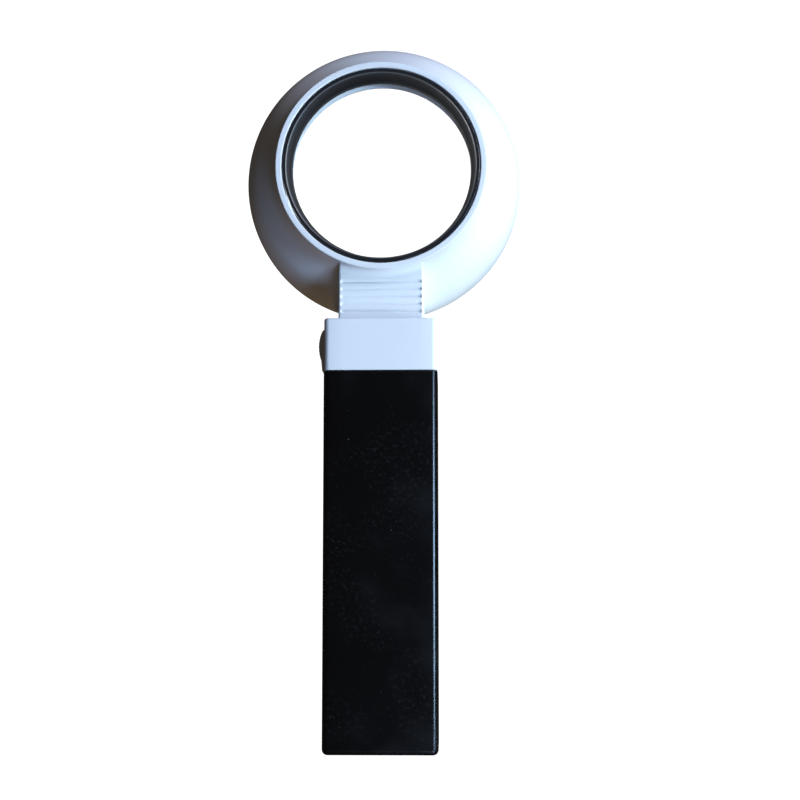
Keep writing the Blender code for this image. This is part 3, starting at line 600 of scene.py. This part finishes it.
glance = clear.node("ShaderNodeFresnel", {}, {"IOR": 1.5})
hair = clear.noise(0.35 * MM, 1.0, 0.5, stretch=(1, 0.04, 1)).over(0.70, 0.80)
clear.through(glance + 0.004 * hair, (0.992, 0.998, 0.995))
lens = turned("lens_disc", lens_outline, head_axis, (0, 0, 1), 192)
piece(lens, "head", "lens_glass", clear, "lens")


# ----------------------------------------------------------------------
# Reflector: a bright rolled aluminium sheet, bent once, under the neck's roof. It turns the lamp's light down on
# the page. Its grain runs along the sheet.
def pressed(name, outline, along, low, high, edge=0.06 * MM):
    """A plate: a closed outline carried along one axis and drawn in by the edge radius at both ends, so each end
    has a quarter-round edge. A point moves in along its outline normal by edge * (1 - sin t) while the plate's end
    moves by edge * (1 - cos t)."""
    before, after = np.roll(outline, 1, 0), np.roll(outline, -1, 0)
    run = after - before
    normal = points(run[:, 1], -run[:, 0]) / np.maximum(np.hypot(*run.T), 1e-9)[:, None]
    area = (outline[:, 0] * after[:, 1] - after[:, 0] * outline[:, 1]).sum()
    normal *= math.copysign(1, area)
    t = np.linspace(0, math.pi / 2, 4)
    inset = np.concatenate([edge * (1 - np.sin(t)), edge * (1 - np.sin(t[::-1]))])
    level = np.concatenate([low + edge * (1 - np.cos(t)), high - edge * (1 - np.cos(t[::-1]))])
    flat = outline - normal * inset[:, None, None]
    return skin(name, np.insert(flat, "xyz".index(along), level[:, None], 2), capped=True)


sheet = 0.5 * MM
sheet_half = 10.2 * MM
back_y, bend_y = 12.0 * MM, 25.7 * MM
roof, front, tip_z = 23.7 * MM, 30.75 * MM, 16.4 * MM
reflector_outline = eased([
    (back_y, roof, 0.1 * MM), (bend_y, roof, 2.2 * MM), (front, tip_z, 0.1 * MM),
    (front - sheet, tip_z - 0.1 * MM, 0.1 * MM), (bend_y - 0.25 * MM, roof - sheet, 1.7 * MM),
    (back_y, roof - sheet, 0.1 * MM),
], 6, 0.02 * MM)
bright = Finish("reflector_sheet", Metallic=1.0)
rolled = bright.noise(0.25 * MM, 2.0, 0.6, stretch=(1, 0.05, 0.05))
bright.colour(bright.noise(5 * MM), (0.84, 0.85, 0.86), (0.92, 0.92, 0.92))
bright.set("Roughness", 0.10 + 0.16 * rolled)
bright.bump(rolled, 0.003 * MM)
reflector = pressed("reflector_sheet", reflector_outline, "x", -sheet_half, sheet_half, 0.08 * MM)
piece(reflector, "head", "reflector_sheet", bright, "light_reflector")


# ----------------------------------------------------------------------
# Switch collar: a white moulded box with a mouth for the neck on one side of its bulkhead and a recess for the
# battery carrier on the other. Its long edges are softly rounded and its mouth has a fine edge.
def boxed(name, stations, middle, steps):
    """A solid carried along Y through rounded rectangles, given as (y, half width, half height, corner radius)
    about the middle (x, z). The first and last are drawn to points, so that the ends close."""
    stations = np.array(stations, float)
    rings = []
    for y, wide, high, corner in stations:
        ring = box_ring(wide, high, max(corner, 0.02 * MM), steps, 3)
        rings.append(points(ring[:, 0] + middle[0], y, ring[:, 1] + middle[1]))
    rings = np.array(rings)
    rings[[0, -1]] = points(middle[0], stations[[0, -1], 0], middle[1])[:, None]
    return skin(name, rings)


def stepped(outline, wide, high, corner):
    """Stations for a box whose wall follows an outline of (inset, y): inset shrinks the half sizes and corner."""
    return [(y, wide - inset, high - inset, corner - inset) for inset, y in outline]


collar_low, collar_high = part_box("collar_housing")
handle_mid = (0.0, (collar_low.z + collar_high.z) / 2)
collar_half = collar_high.x
collar_high_half = (collar_high.z - collar_low.z) / 2
mouth_half = neck_half + 0.3 * MM
mouth_inset = collar_half - mouth_half
bulkhead_low, bulkhead_high = 6.0 * MM, 8.0 * MM
recess_inset = 1.7 * MM
collar_wall = eased([
    (recess_inset, bulkhead_low, 0),
    (recess_inset, collar_low.y, 0.15 * MM),
    (0, collar_low.y, 0.12 * MM),
    (0, collar_high.y, 0.8 * MM),
    (mouth_inset, collar_high.y, 0.3 * MM),
    (mouth_inset, bulkhead_high, 0),
], 5)
collar_ends = [
    (bulkhead_low, 0, 0, 0),
    *stepped(collar_wall, collar_half, collar_high_half, 1.6 * MM),
    (bulkhead_high, 0, 0, 0),
]
collar = boxed("collar_shell", collar_ends, handle_mid, 7)
past = 1 * MM
collar_cuts = []
for name, x_span, y_span, half in (
    ("slot_cut", (-collar_half - past, -mouth_half + past), (8.8 * MM, 16.0 * MM), 2.1 * MM),
    ("pocket_cut", (-15.2 * MM, -mouth_half + past), (8.2 * MM, 17.4 * MM), 6 * MM),
    ("catch_cut", (mouth_half - past, 14.6 * MM), (8.5 * MM, 17.0 * MM), 4 * MM),
):
    low = (x_span[0], y_span[0], handle_mid[1] - half)
    high = (x_span[1], y_span[1], handle_mid[1] + half)
    collar_cuts.append(("DIFFERENCE", slab(name, low, high)))
collar = combined("switch_collar", collar, *collar_cuts)
piece(collar, "handle", "white_plastic", white, "collar_housing")


# ----------------------------------------------------------------------
# Head catch: a bowed leaf of spring steel in the collar's pocket. It presses on the plugged-in neck and holds it.
catch_low, catch_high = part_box("head_catch_spring")
catch_half = (catch_high.y - catch_low.y) / 2
catch_sag = 0.55 * MM
catch_radius = (catch_half**2 + catch_sag**2) / (2 * catch_sag)
catch_lean = math.asin(catch_half / catch_radius)
catch_middle = (catch_low.x + catch_radius, (catch_low.y + catch_high.y) / 2)
near_side = arc(catch_middle, catch_radius, math.pi + catch_lean, math.pi - catch_lean, 30)
far_side = arc(catch_middle, catch_radius - 0.35 * MM, math.pi - catch_lean, math.pi + catch_lean, 30)
steel = Finish("spring_steel", Metallic=1.0)
drawn = steel.noise(0.10 * MM, 2.0, 0.6, stretch=(1, 0.15, 1))
steel.colour(steel.noise(2 * MM, 3.0), (0.50, 0.50, 0.49), (0.66, 0.66, 0.65))
steel.set("Roughness", 0.22 + 0.14 * drawn)
steel.bump(drawn, 0.003 * MM)
catch = pressed("head_catch", np.vstack([near_side, far_side]), "z", catch_low.z, catch_high.z)
piece(catch, "handle", "steel", steel, "head_catch_spring")


# ----------------------------------------------------------------------
# Thumb switch: a white sliding pad with a low plate and a domed thumb rest, ribbed across. Its stem passes through
# the slot and carries the brass bridge.
slider_low, slider_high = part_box("switch_slider")
dome_peak, plate_face = 18.66 * MM, 17.65 * MM
dome_radius, dome_y = 11.0 * MM, 11.5 * MM
dome_half = math.sqrt(dome_radius**2 - (dome_radius - dome_peak + plate_face) ** 2)
dome_rows = np.linspace(-dome_half, dome_half, 90)
rib_pitch, rib_height, rib_reach = 1.1 * MM, 0.10 * MM, 3.3 * MM
dome_x = -dome_peak + dome_radius - np.sqrt(dome_radius**2 - dome_rows**2)
rib_zone = np.clip(1 - (dome_rows / rib_reach) ** 4, 0, 1)
dome_x = dome_x + rib_height * rib_zone * (1 - np.cos(dome_rows / rib_pitch * math.tau)) / 2
dome_line = points(dome_x, dome_y + dome_rows)
pad_base = -collar_half - 0.3 * MM
pad_outline = np.vstack([
    [(pad_base, slider_low.y), (-plate_face + 0.3 * MM, slider_low.y), (-plate_face, slider_low.y + 0.3 * MM)],
    dome_line,
    [(-plate_face + 0.4 * MM, slider_high.y), (pad_base, slider_high.y)],
])
pad = extruded("switch_pad", pad_outline, slider_low.z, slider_high.z)
stem_low, stem_high, stem_half = 9.3 * MM, 13.3 * MM, 1.6 * MM
stem = slab("switch_stem", (pad_base - 0.5 * MM, stem_low, handle_mid[1] - stem_half),
            (slider_high.x, stem_high, handle_mid[1] + stem_half))
thumb = piece(combined("thumb_switch", pad, ("UNION", stem)), "switch", "white_plastic", white, "switch_slider")
soft = thumb.modifiers.new("soft_edges", "BEVEL")
soft.width = 0.3 * MM
soft.segments = 3
soft.limit_method = "ANGLE"
soft.angle_limit = math.radians(50)


# ----------------------------------------------------------------------
# Switch works: a brass bridge on the slider's stem, and two fixed brass leaves that it joins when it is pushed up.
# The bridge and the leaves each have small pressed contact domes.
def plate_outline(low, high, corner):
    """A rounded rectangle between two corners of a plane."""
    low, high = np.array(low), np.array(high)
    return box_ring(*(high - low) / 2, corner, 5, 2) + (low + high) / 2


brass = Finish("brass", Metallic=1.0)
tarnish = brass.noise(2.5 * MM, 4.0, 0.6).over(0.42, 0.72)
brushed = brass.noise(0.12 * MM, 2.0, 0.6, stretch=(1, 0.1, 1))
brass.colour(tarnish, (0.86, 0.66, 0.32), (0.62, 0.42, 0.17))
brass.set("Roughness", 0.20 + 0.16 * brushed + 0.10 * tarnish)
brass.bump(brushed, 0.003 * MM)


def brass_leaf(name, node, along, corner, body, dome=None, side=1):
    """A thin brass plate that fills a node's box, with optional pressed domes of that radius: one in the middle of
    a square plate, or two at the ends of a long one. A dome's height over the plate at distance d is its full
    height times cos(pi d / 2 radius)."""
    low, high = np.array(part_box(node))
    axis = "xyz".index(along)
    others = [i for i in range(3) if i != axis]
    outline = plate_outline(low[others], high[others], corner)
    if dome is None:
        mesh = pressed(name, outline, along, low[axis], high[axis])
        return piece(mesh, body, "brass", brass, node)
    size = high - low
    rise, sunk = size[axis] * 0.45, 0.02 * MM
    shallow = (low[axis] + rise, high[axis]) if side < 0 else (low[axis], high[axis] - rise)
    mesh = pressed(name, outline, along, *shallow, 0.05 * MM)
    reach = np.linspace(0, 1, 9)
    bulge = points(dome * reach, (rise + sunk) * np.cos(reach * math.pi / 2))
    base = np.array([(dome, -size[axis] * 0.3), (0, -size[axis] * 0.3)])
    direction = np.zeros(3)
    direction[axis] = side
    long = max(others, key=lambda i: size[i])
    for share in (0,) if size[long] < 1.5 * min(size[others]) else (-0.36, 0.36):
        centre = (low + high) / 2
        centre[long] += share * size[long]
        centre[axis] = shallow[0] if side < 0 else shallow[1]
        centre -= direction * sunk
        bump = turned(name + "_dome", np.vstack([bulge, base]), centre, direction, 24)
        mesh = combined(name, mesh, ("UNION", bump))
    return piece(mesh, body, "brass", brass, node)


brass_leaf("bridge_plate", "switch_bridge", "x", 0.5 * MM, "switch", 0.9 * MM, 1)
brass_leaf("contact_low", "switch_contact_low", "x", 0.4 * MM, "handle", 0.8 * MM, -1)
brass_leaf("contact_high", "switch_contact_high", "x", 0.4 * MM, "handle", 0.8 * MM, -1)


# ----------------------------------------------------------------------
# Lamp holder: a cream moulded socket on the bulkhead, a tube on a round foot with a softened rim.
holder_low, holder_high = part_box("lamp_holder")
lamp_line = ((holder_low.x + holder_high.x) / 2, 0, (holder_low.z + holder_high.z) / 2)
foot_radius = (holder_high.x - holder_low.x) / 2
foot_top = holder_low.y + 1 * MM
tube_radius, tube_bore, eyelet = 6.1 * MM, 5.2 * MM, 2.0 * MM
holder_outline = eased([
    (eyelet, holder_low.y, 0.1 * MM), (foot_radius, holder_low.y, 0.2 * MM), (foot_radius, foot_top, 0.3 * MM),
    (tube_radius, foot_top, 0.0), (tube_radius, holder_high.y, 0.3 * MM), (tube_bore, holder_high.y, 0.25 * MM),
    (tube_bore, foot_top, 0.0), (eyelet, foot_top, 0.1 * MM),
], 4, 0.04 * MM)
cream = Finish("holder_plastic")
cream.colour(cream.noise(3 * MM, 3.0), (0.76, 0.74, 0.68), (0.80, 0.78, 0.73))
cream.set("Roughness", 0.42 + 0.12 * cream.noise(0.6 * MM))
cream.bump(cream.noise(0.15 * MM, 2.0), 0.006 * MM)
piece(turned("lamp_socket", holder_outline, lamp_line), "handle", "holder_plastic", cream, "lamp_holder")


# ----------------------------------------------------------------------
# Lamp: a small screw-base bulb. A rolled thread runs round its brass cap, a solder blob ends the cap, and a coiled
# filament on two leads stands in the glass.
def threaded(outline, centre, steps, zone, pitch, depth):
    """A shape turned about Y with a rolled screw thread. The outline is (radius, height h, share), and within the
    zone of heights a point at turn a gains share * depth * cos(2 pi h / pitch - a), faded over one pitch at each
    end."""
    grid = around(outline[:, :2], centre, (0, 1, 0), steps)
    h = outline[:, 1]
    fade = np.clip(np.minimum(h - zone[0], zone[1] - h) / pitch, 0, 1) * outline[:, 2]
    angle = np.arange(steps) / steps * math.tau
    wave = depth * fade[:, None] * np.cos(math.tau * h[:, None] / pitch - angle[None])
    out = grid - np.array(centre) - h[:, None, None] * (0, 1, 0)
    out /= np.maximum(np.linalg.norm(out, axis=2, keepdims=True), 1e-9)
    return grid + out * wave[..., None]


cap_low, cap_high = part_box("lamp_cap")
cap_radius = 4.4 * MM
thread_low, thread_high = cap_low.y + 1.4 * MM, cap_high.y - 1.6 * MM
wall_heights = np.linspace(thread_low, thread_high, 64)
cap_outside = np.vstack([
    [(2.2 * MM, cap_low.y + 0.05 * MM, 0), (2.6 * MM, cap_low.y, 0), (3.5 * MM, cap_low.y + 0.25 * MM, 0),
     (4.1 * MM, cap_low.y + 0.75 * MM, 0)],
    points(cap_radius, wall_heights, 1),
    [(cap_radius, cap_high.y - 1.2 * MM, 0), (4.84 * MM, cap_high.y - 0.6 * MM, 0),
     (4.85 * MM, cap_high.y - 0.1 * MM, 0), (4.75 * MM, cap_high.y, 0), (3.9 * MM, cap_high.y, 0),
     (3.78 * MM, cap_high.y - 0.12 * MM, 0)],
    [(3.78 * MM, cap_low.y + 1.2 * MM, 0), (2.2 * MM, cap_low.y + 0.7 * MM, 0)],
])
cap_grid = threaded(cap_outside, lamp_line, 96, (thread_low, thread_high), 2.1 * MM, 0.2 * MM)
piece(skin("lamp_cap_shell", cap_grid, wrap_rows=True), "handle", "brass", brass, "lamp_cap")

tip_low, tip_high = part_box("lamp_tip_contact")
tip_radius, blob_height = 1.62 * MM, 1.0 * MM
blob = arc((0, tip_low.y + blob_height), blob_height, -math.pi / 2, 0, 10) * (tip_radius / blob_height, 1)
tip_outline = np.vstack([blob, eased([(tip_radius, tip_high.y - 0.7 * MM, 0), (tip_radius, tip_high.y, 0.1 * MM),
                                      (0, tip_high.y, 0)], 4, 0.02 * MM)])
solder = Finish("solder", Metallic=1.0)
solder.colour(solder.noise(0.5 * MM, 4.0), (0.46, 0.46, 0.48), (0.62, 0.62, 0.63))
solder.set("Roughness", 0.30 + 0.20 * solder.noise(0.2 * MM))
solder.bump(solder.noise(0.5 * MM, 2.0), 0.02 * MM)
piece(turned("lamp_tip", tip_outline, lamp_line, steps=64), "handle", "solder", solder, "lamp_tip_contact")

glass_low, glass_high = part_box("lamp_glass")
globe_radius = 5.5 * MM
globe_y = glass_high.y - globe_radius
glass_skin = 0.5 * MM
stem_radius = 3.6 * MM
globe_lean = math.asin(stem_radius / globe_radius)
globe = arc((0, globe_y), globe_radius, math.pi / 2, -math.pi / 2 + globe_lean, 30)
hollow = arc((0, globe_y), globe_radius - glass_skin, -math.pi / 2 + globe_lean, math.pi / 2, 30)
foot_y = globe[-1, 1] - 1.1 * MM
stem_out = np.array([(stem_radius - 0.02 * MM, foot_y), (stem_radius - 0.02 * MM, glass_low.y + 0.08 * MM),
                     (stem_radius - 0.1 * MM, glass_low.y)])
stem_in = np.array([(stem_radius - glass_skin + 0.1 * MM, glass_low.y), (stem_radius - glass_skin, foot_y)])
globe[0, 0] = hollow[-1, 0] = 0
envelope = np.vstack([globe, stem_out, stem_in, hollow])
bulb_glass = Finish("lamp_glass", Roughness=0.02, Base_Color=(1.0, 1.0, 1.0), Metallic=1.0)
blown = bulb_glass.noise(2.5 * MM, 1.0)
bulb_glass.bump(blown, 0.05 * MM)
bulb_glance = bulb_glass.node("ShaderNodeFresnel", {}, {"IOR": 1.52})
bulb_glass.through(bulb_glance * (0.9 + 0.1 * blown), (0.97, 0.98, 0.97))
piece(turned("lamp_envelope", envelope, lamp_line), "handle", "lamp_glass", bulb_glass, "lamp_glass")


def wire(name, path, radius, sides):
    """A round wire: a circle carried along a path of points. The circle's first arm is the path's tangent crossed
    with a fixed direction, its second is the tangent crossed with the first, and it shrinks over the two ends."""
    tangent = np.gradient(path, axis=0)
    tangent /= np.linalg.norm(tangent, axis=1, keepdims=True)
    arm = np.cross(tangent, (0.02, 1.0, 0.03))
    arm /= np.linalg.norm(arm, axis=1, keepdims=True)
    other = np.cross(tangent, arm)
    t = np.linspace(0, math.pi / 2, 4)
    along = np.concatenate([path[:1] - tangent[:1] * radius * np.cos(t)[:, None], path[1:-1],
                            path[-1:] + tangent[-1:] * radius * np.cos(t[::-1])[:, None]])
    pick = np.concatenate([np.zeros(4, int), np.arange(1, len(path) - 1), np.full(4, len(path) - 1)])
    girth = radius * np.concatenate([np.sin(t), np.ones(len(path) - 2), np.sin(t[::-1])])
    angle = np.arange(sides) / sides * math.tau
    ring = np.cos(angle)[:, None] * arm[pick][:, None] + np.sin(angle)[:, None] * other[pick][:, None]
    return skin(name, along[:, None] + girth[:, None, None] * ring)


def joined(name, *meshes):
    """Several closed meshes gathered into one."""
    bm = bmesh.new()
    for mesh in meshes:
        bm.from_mesh(mesh)
    mesh = bpy.data.meshes.new(name)
    bm.to_mesh(mesh)
    bm.free()
    return tidy(mesh)


turns = np.linspace(0, 1, 260)
coil_angle = turns * math.tau * 9
coil_length, coil_radius = 4.4 * MM, 0.28 * MM
coil = points((turns - 0.5) * coil_length, globe_y + coil_radius * np.cos(coil_angle),
              lamp_line[2] + coil_radius * np.sin(coil_angle))
leads = []
for side in (-1, 1):
    t = np.linspace(0, 1, 24)
    drawn_in = np.clip(1.6 * t - 0.5, 0, 1)
    x = side * (2.25 - 1.35 * drawn_in**2 * (3 - 2 * drawn_in)) * MM
    y = globe_y + 0.15 * MM - t * (globe_y - cap_low.y - 3.5 * MM)
    leads.append(wire(f"lead_{side}", points(x, y, lamp_line[2]), 0.14 * MM, 8))
bead_line = arc((0, 0), 0.9 * MM, -math.pi / 2, math.pi / 2, 14) * (1.4, 1)
bead = turned("bead", bead_line, (0, globe_y - 5.6 * MM, lamp_line[2]), steps=32)
filament = joined("lamp_filament", wire("filament", coil, 0.07 * MM, 6), *leads, bead)
piece(filament, "handle", "steel", steel)


# ----------------------------------------------------------------------
# Battery carrier: a black moulded frame screwed under the bulkhead. Two flat rails run down beside the cells to a
# foot plate, and one rail has a groove for the return conductor.
carrier_low, carrier_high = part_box("battery_carrier")
rail_inner, rail_half = 13.2 * MM, 9.0 * MM
plate_low, foot_high = 3.6 * MM, carrier_low.y + 1.8 * MM
mid = handle_mid[1]
plate_shape = plate_outline((carrier_low.x, carrier_low.z), (carrier_high.x, carrier_high.z), 1.0 * MM)
carrier = pressed("carrier_plate", plate_shape, "y", plate_low, carrier_high.y, 0.25 * MM)
carrier_steps = [("UNION", pressed("carrier_foot", plate_shape, "y", carrier_low.y, foot_high, 0.25 * MM))]
for side, rail_name in ((-1, "left"), (1, "right")):
    near, far = sorted((side * rail_inner, side * carrier_high.x))
    rail_shape = plate_outline((near, mid - rail_half), (far, mid + rail_half), 0.35 * MM)
    rail_low, rail_high = carrier_low.y + 0.5 * MM, carrier_high.y - 0.5 * MM
    carrier_steps.append(("UNION", pressed(f"rail_{rail_name}", rail_shape, "y", rail_low, rail_high, 0.1 * MM)))


def drill(name, x, z, radius, low, high):
    """A round cutter along Y."""
    outline = np.array([(0, low), (radius, low), (radius, high), (0, high)])
    return turned(name, outline, (x, 0, z), steps=48)


screw_spots = []
for node in ("carrier_screw_1", "carrier_screw_2"):
    low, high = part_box(node)
    screw_spots.append(((low.x + high.x) / 2, (low.z + high.z) / 2))
groove = slab("conductor_groove", (carrier_high.x - 0.7 * MM, carrier_low.y + 1 * MM, mid - 2.2 * MM),
              (carrier_high.x + past, carrier_high.y + past, mid + 2.2 * MM))
carrier_steps.append(("DIFFERENCE", groove))
holes = [("wire_gap", 0, lamp_line[2], 2.0 * MM)]
holes += [(f"screw_hole_{number}", x, z, 1.2 * MM) for number, (x, z) in enumerate(screw_spots)]
for hole in holes:
    carrier_steps.append(("DIFFERENCE", drill(*hole, plate_low - past, carrier_high.y + past)))
frame_black = Finish("carrier_plastic")
frame_grain = frame_black.noise(0.2 * MM, 2.0)
frame_black.colour(frame_black.noise(8 * MM, 3.0), (0.014, 0.014, 0.015), (0.022, 0.022, 0.022))
frame_black.set("Roughness", 0.48 + 0.14 * frame_grain)
frame_black.bump(frame_grain, 0.01 * MM)
carrier = combined("carrier_frame", carrier, *carrier_steps)
piece(carrier, "handle", "carrier_plastic", frame_black, "battery_carrier")


# ----------------------------------------------------------------------
# Carrier screws: two small pan-head steel screws with a cross recess and a coarse rolled thread.
pan_radius, pan_height, core_radius = 1.9 * MM, 1.3 * MM, 0.72 * MM
arm_long, arm_wide, arm_deep = 0.95 * MM, 0.2 * MM, 0.62 * MM
for number, (x, z) in enumerate(screw_spots, 1):
    node = f"carrier_screw_{number}"
    low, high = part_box(node)
    shank_y = low.y + pan_height
    thread_span = (shank_y + 0.3 * MM, high.y - 0.9 * MM)
    t = np.linspace(0, math.pi / 2, 8)
    crown = points(pan_radius * np.sin(t), low.y + 0.75 * MM * (1 - np.cos(t)), 0)
    outline = np.vstack([
        crown,
        [(pan_radius, shank_y - 0.06 * MM, 0), (1.84 * MM, shank_y, 0), (core_radius, shank_y, 0)],
        points(core_radius, np.linspace(*thread_span, 70), 1),
        [(0.55 * MM, high.y - 0.5 * MM, 0), (0, high.y, 0)],
    ])
    grid = threaded(outline, (x, 0, z), 40, thread_span, 0.7 * MM, 0.17 * MM)
    cross = [
        ("DIFFERENCE", slab(name, (x - wide, low.y - past, z - tall), (x + wide, low.y + arm_deep, z + tall)))
        for name, wide, tall in (("recess_x", arm_long, arm_wide), ("recess_z", arm_wide, arm_long))
    ]
    screw = combined(f"pan_screw_{number}", skin(f"screw_{number}", grid), *cross)
    piece(screw, "handle", "steel", steel, node)


# ----------------------------------------------------------------------
# Cells: two round cells end to end. A printed two-tone jacket wraps each steel can and is shrunk over its edges,
# and a plated cap with a rolled skirt stands on the top.
cell_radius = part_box("cell_1_can")[1].x
cell_axis = (0, 0, handle_mid[1])
plated = Finish("cell_plate", Metallic=1.0)
plated.colour(plated.noise(1.5 * MM, 3.0), (0.62, 0.61, 0.58), (0.74, 0.73, 0.71))
plated.set("Roughness", 0.18 + 0.14 * plated.noise(0.3 * MM))
plated.bump(plated.noise(0.4 * MM), 0.004 * MM)
for number in (1, 2):
    low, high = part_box(f"cell_{number}_can")
    can_outline = eased([
        (0, low.y + 0.35 * MM, 0), (8.4 * MM, low.y + 0.35 * MM, 0.4 * MM), (9.0 * MM, low.y + 0.02 * MM, 0.4 * MM),
        (11.2 * MM, low.y + 0.02 * MM, 0.3 * MM), (11.5 * MM, low.y + 0.25 * MM, 0.2 * MM),
        (11.8 * MM, low.y, 0.15 * MM), (cell_radius, low.y, 0.6 * MM), (cell_radius, high.y, 0.7 * MM),
        (10.9 * MM, high.y, 0.2 * MM), (10.7 * MM, high.y - 0.35 * MM, 0.2 * MM), (0, high.y - 0.35 * MM, 0),
    ], 4, 0.04 * MM)
    jacket = Finish(f"cell_jacket_{number}")
    along = jacket.node("ShaderNodeSeparateXYZ", {}, {0: jacket.place}, 1)
    off_axis = jacket.node("ShaderNodeVectorMath", {"operation": "MULTIPLY_ADD"},
                           {0: jacket.place, 1: (1, 0, 1), 2: (0, 0, -cell_axis[2])})
    radius = jacket.node("ShaderNodeVectorMath", {"operation": "LENGTH"}, {0: off_axis}, 1)
    band = along.over(high.y - 13.05 * MM, high.y - 12.95 * MM)
    stripe = band - along.over(high.y - 12.05 * MM, high.y - 11.95 * MM)
    metal = 1 - radius.over(11.55 * MM, 11.65 * MM)
    scuff = jacket.noise(0.8 * MM, 4.0, 0.7, stretch=(1, 0.3, 1)).over(0.62, 0.72)
    paint = jacket.mix(band, (0.16, 0.17, 0.18), (0.035, 0.10, 0.085))
    paint = jacket.mix(stripe, paint, (0.62, 0.62, 0.60))
    paint = jacket.mix(scuff * 0.3, paint, (0.30, 0.30, 0.30))
    jacket.colour(metal, paint, (0.66, 0.65, 0.62))
    jacket.set("Metallic", metal)
    jacket.set("Roughness", 0.26 + 0.22 * scuff + 0.06 * jacket.noise(0.5 * MM))
    jacket.bump(jacket.noise(1.2 * MM, 2.0), 0.008 * MM)
    can = turned(f"cell_can_{number}", can_outline, cell_axis, steps=160)
    piece(can, "handle", "cell_jacket", jacket, f"cell_{number}_can")

    low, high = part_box(f"cell_{number}_cap")
    cap_outline = eased([
        (0, low.y, 0), (5.9 * MM, low.y, 0.1 * MM), (5.9 * MM, low.y + 0.3 * MM, 0.1 * MM),
        (3.75 * MM, low.y + 0.3 * MM, 0.15 * MM), (3.6 * MM, high.y, 0.3 * MM), (1.6 * MM, high.y, 0.2 * MM),
        (1.4 * MM, high.y - 0.08 * MM, 0.2 * MM), (0, high.y - 0.08 * MM, 0),
    ], 4, 0.03 * MM)
    button = turned(f"cell_button_{number}", cap_outline, cell_axis)
    piece(button, "handle", "cell_plate", plated, f"cell_{number}_cap")


# ----------------------------------------------------------------------
# Cell contacts: a brass leaf above the cells, a tapering wire spring on a brass plate below them, and a brass strip
# in the rail's groove that brings the current back to the switch.
brass_leaf("top_leaf", "top_contact", "y", 1.4 * MM, "handle")
brass_leaf("spring_seat", "spring_plate", "y", 2.0 * MM, "handle")
brass_leaf("return_strip", "side_conductor", "x", 0.5 * MM, "handle")

spring_low, spring_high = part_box("contact_spring")
spring_wire = 0.35 * MM
t = np.linspace(0, 1, 241)
spring_radius = 7.5 * MM + (4.0 - 7.5) * MM * t
spring_angle = math.tau * 2.5 * t
first_y, last_y = spring_low.y + spring_wire * 1.05, spring_high.y - spring_wire * 1.05
lift = np.clip((t - 0.10) / 0.80, 0, 1)
spring_path = points(spring_radius * np.cos(spring_angle), first_y + (last_y - first_y) * lift,
                     cell_axis[2] + spring_radius * np.sin(spring_angle))
piece(wire("cone_spring", spring_path, spring_wire * 0.98, 14), "handle", "steel", steel, "contact_spring")


# ----------------------------------------------------------------------
# Battery sleeve: one deep black box, closed at its far end, moulded with soft edges and a fine spark texture. It
# has picked up a little pale dust, and handling has left faint cloudy patches and smudges in the grain.
sleeve_low, sleeve_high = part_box("battery_sleeve")
sleeve_half = sleeve_high.x
sleeve_high_half = (sleeve_high.z - sleeve_low.z) / 2
sleeve_wall, sleeve_floor = 1.8 * MM, 1.6 * MM
sleeve_line = eased([
    (3 * MM, sleeve_low.y, 0),
    (0, sleeve_low.y, 1.6 * MM),
    (0, sleeve_high.y, 0.22 * MM),
    (sleeve_wall, sleeve_high.y, 0.22 * MM),
    (sleeve_wall, sleeve_low.y + sleeve_floor, 0),
], 7)
sleeve_ends = [
    (sleeve_low.y, 0, 0, 0),
    *stepped(sleeve_line, sleeve_half, sleeve_high_half, 1.8 * MM),
    (sleeve_low.y + sleeve_floor, 0, 0, 0),
]
sleeve = boxed("sleeve_box", sleeve_ends, (0.0, (sleeve_low.z + sleeve_high.z) / 2), 8)
black = Finish("black_plastic")
black.set("IOR", 1.48)
black.set("Specular IOR Level", 0.65)
grain = black.noise(0.16 * MM, 2.0, 0.6)
patch = black.noise(14 * MM, 4.0, 0.6)
fine_dust = black.specks(1.5 * MM, 0.12 * MM, 0.1) * black.noise(5 * MM, 3.0, 0.7).over(0.42, 0.66)
big_dust = black.specks(6.0 * MM, 0.20 * MM, 0.7) * black.noise(9 * MM, 2.0).over(0.40, 0.6)
dusting = (1 - big_dust) * fine_dust * 0.14 + big_dust * 0.34
base = black.mix(patch.over(0.50, 0.72), (0.0006, 0.0007, 0.0009), (0.0046, 0.0048, 0.0052))
handled = black.noise(9 * MM, 3.0, shift=(1, 0, 0)).over(0.44, 0.60)
smudge = black.noise(0.6 * MM, 4.0, 0.8).over(0.52, 0.72) * handled
base = black.mix(smudge, base, (0.0150, 0.0160, 0.0175))
black.colour(dusting, base, (0.30, 0.28, 0.27))
black.set("Roughness", 0.17 + 0.10 * patch + 0.05 * grain)
black.bump(grain, 0.006 * MM)
piece(sleeve, "sleeve", "black_plastic", black, "battery_sleeve")
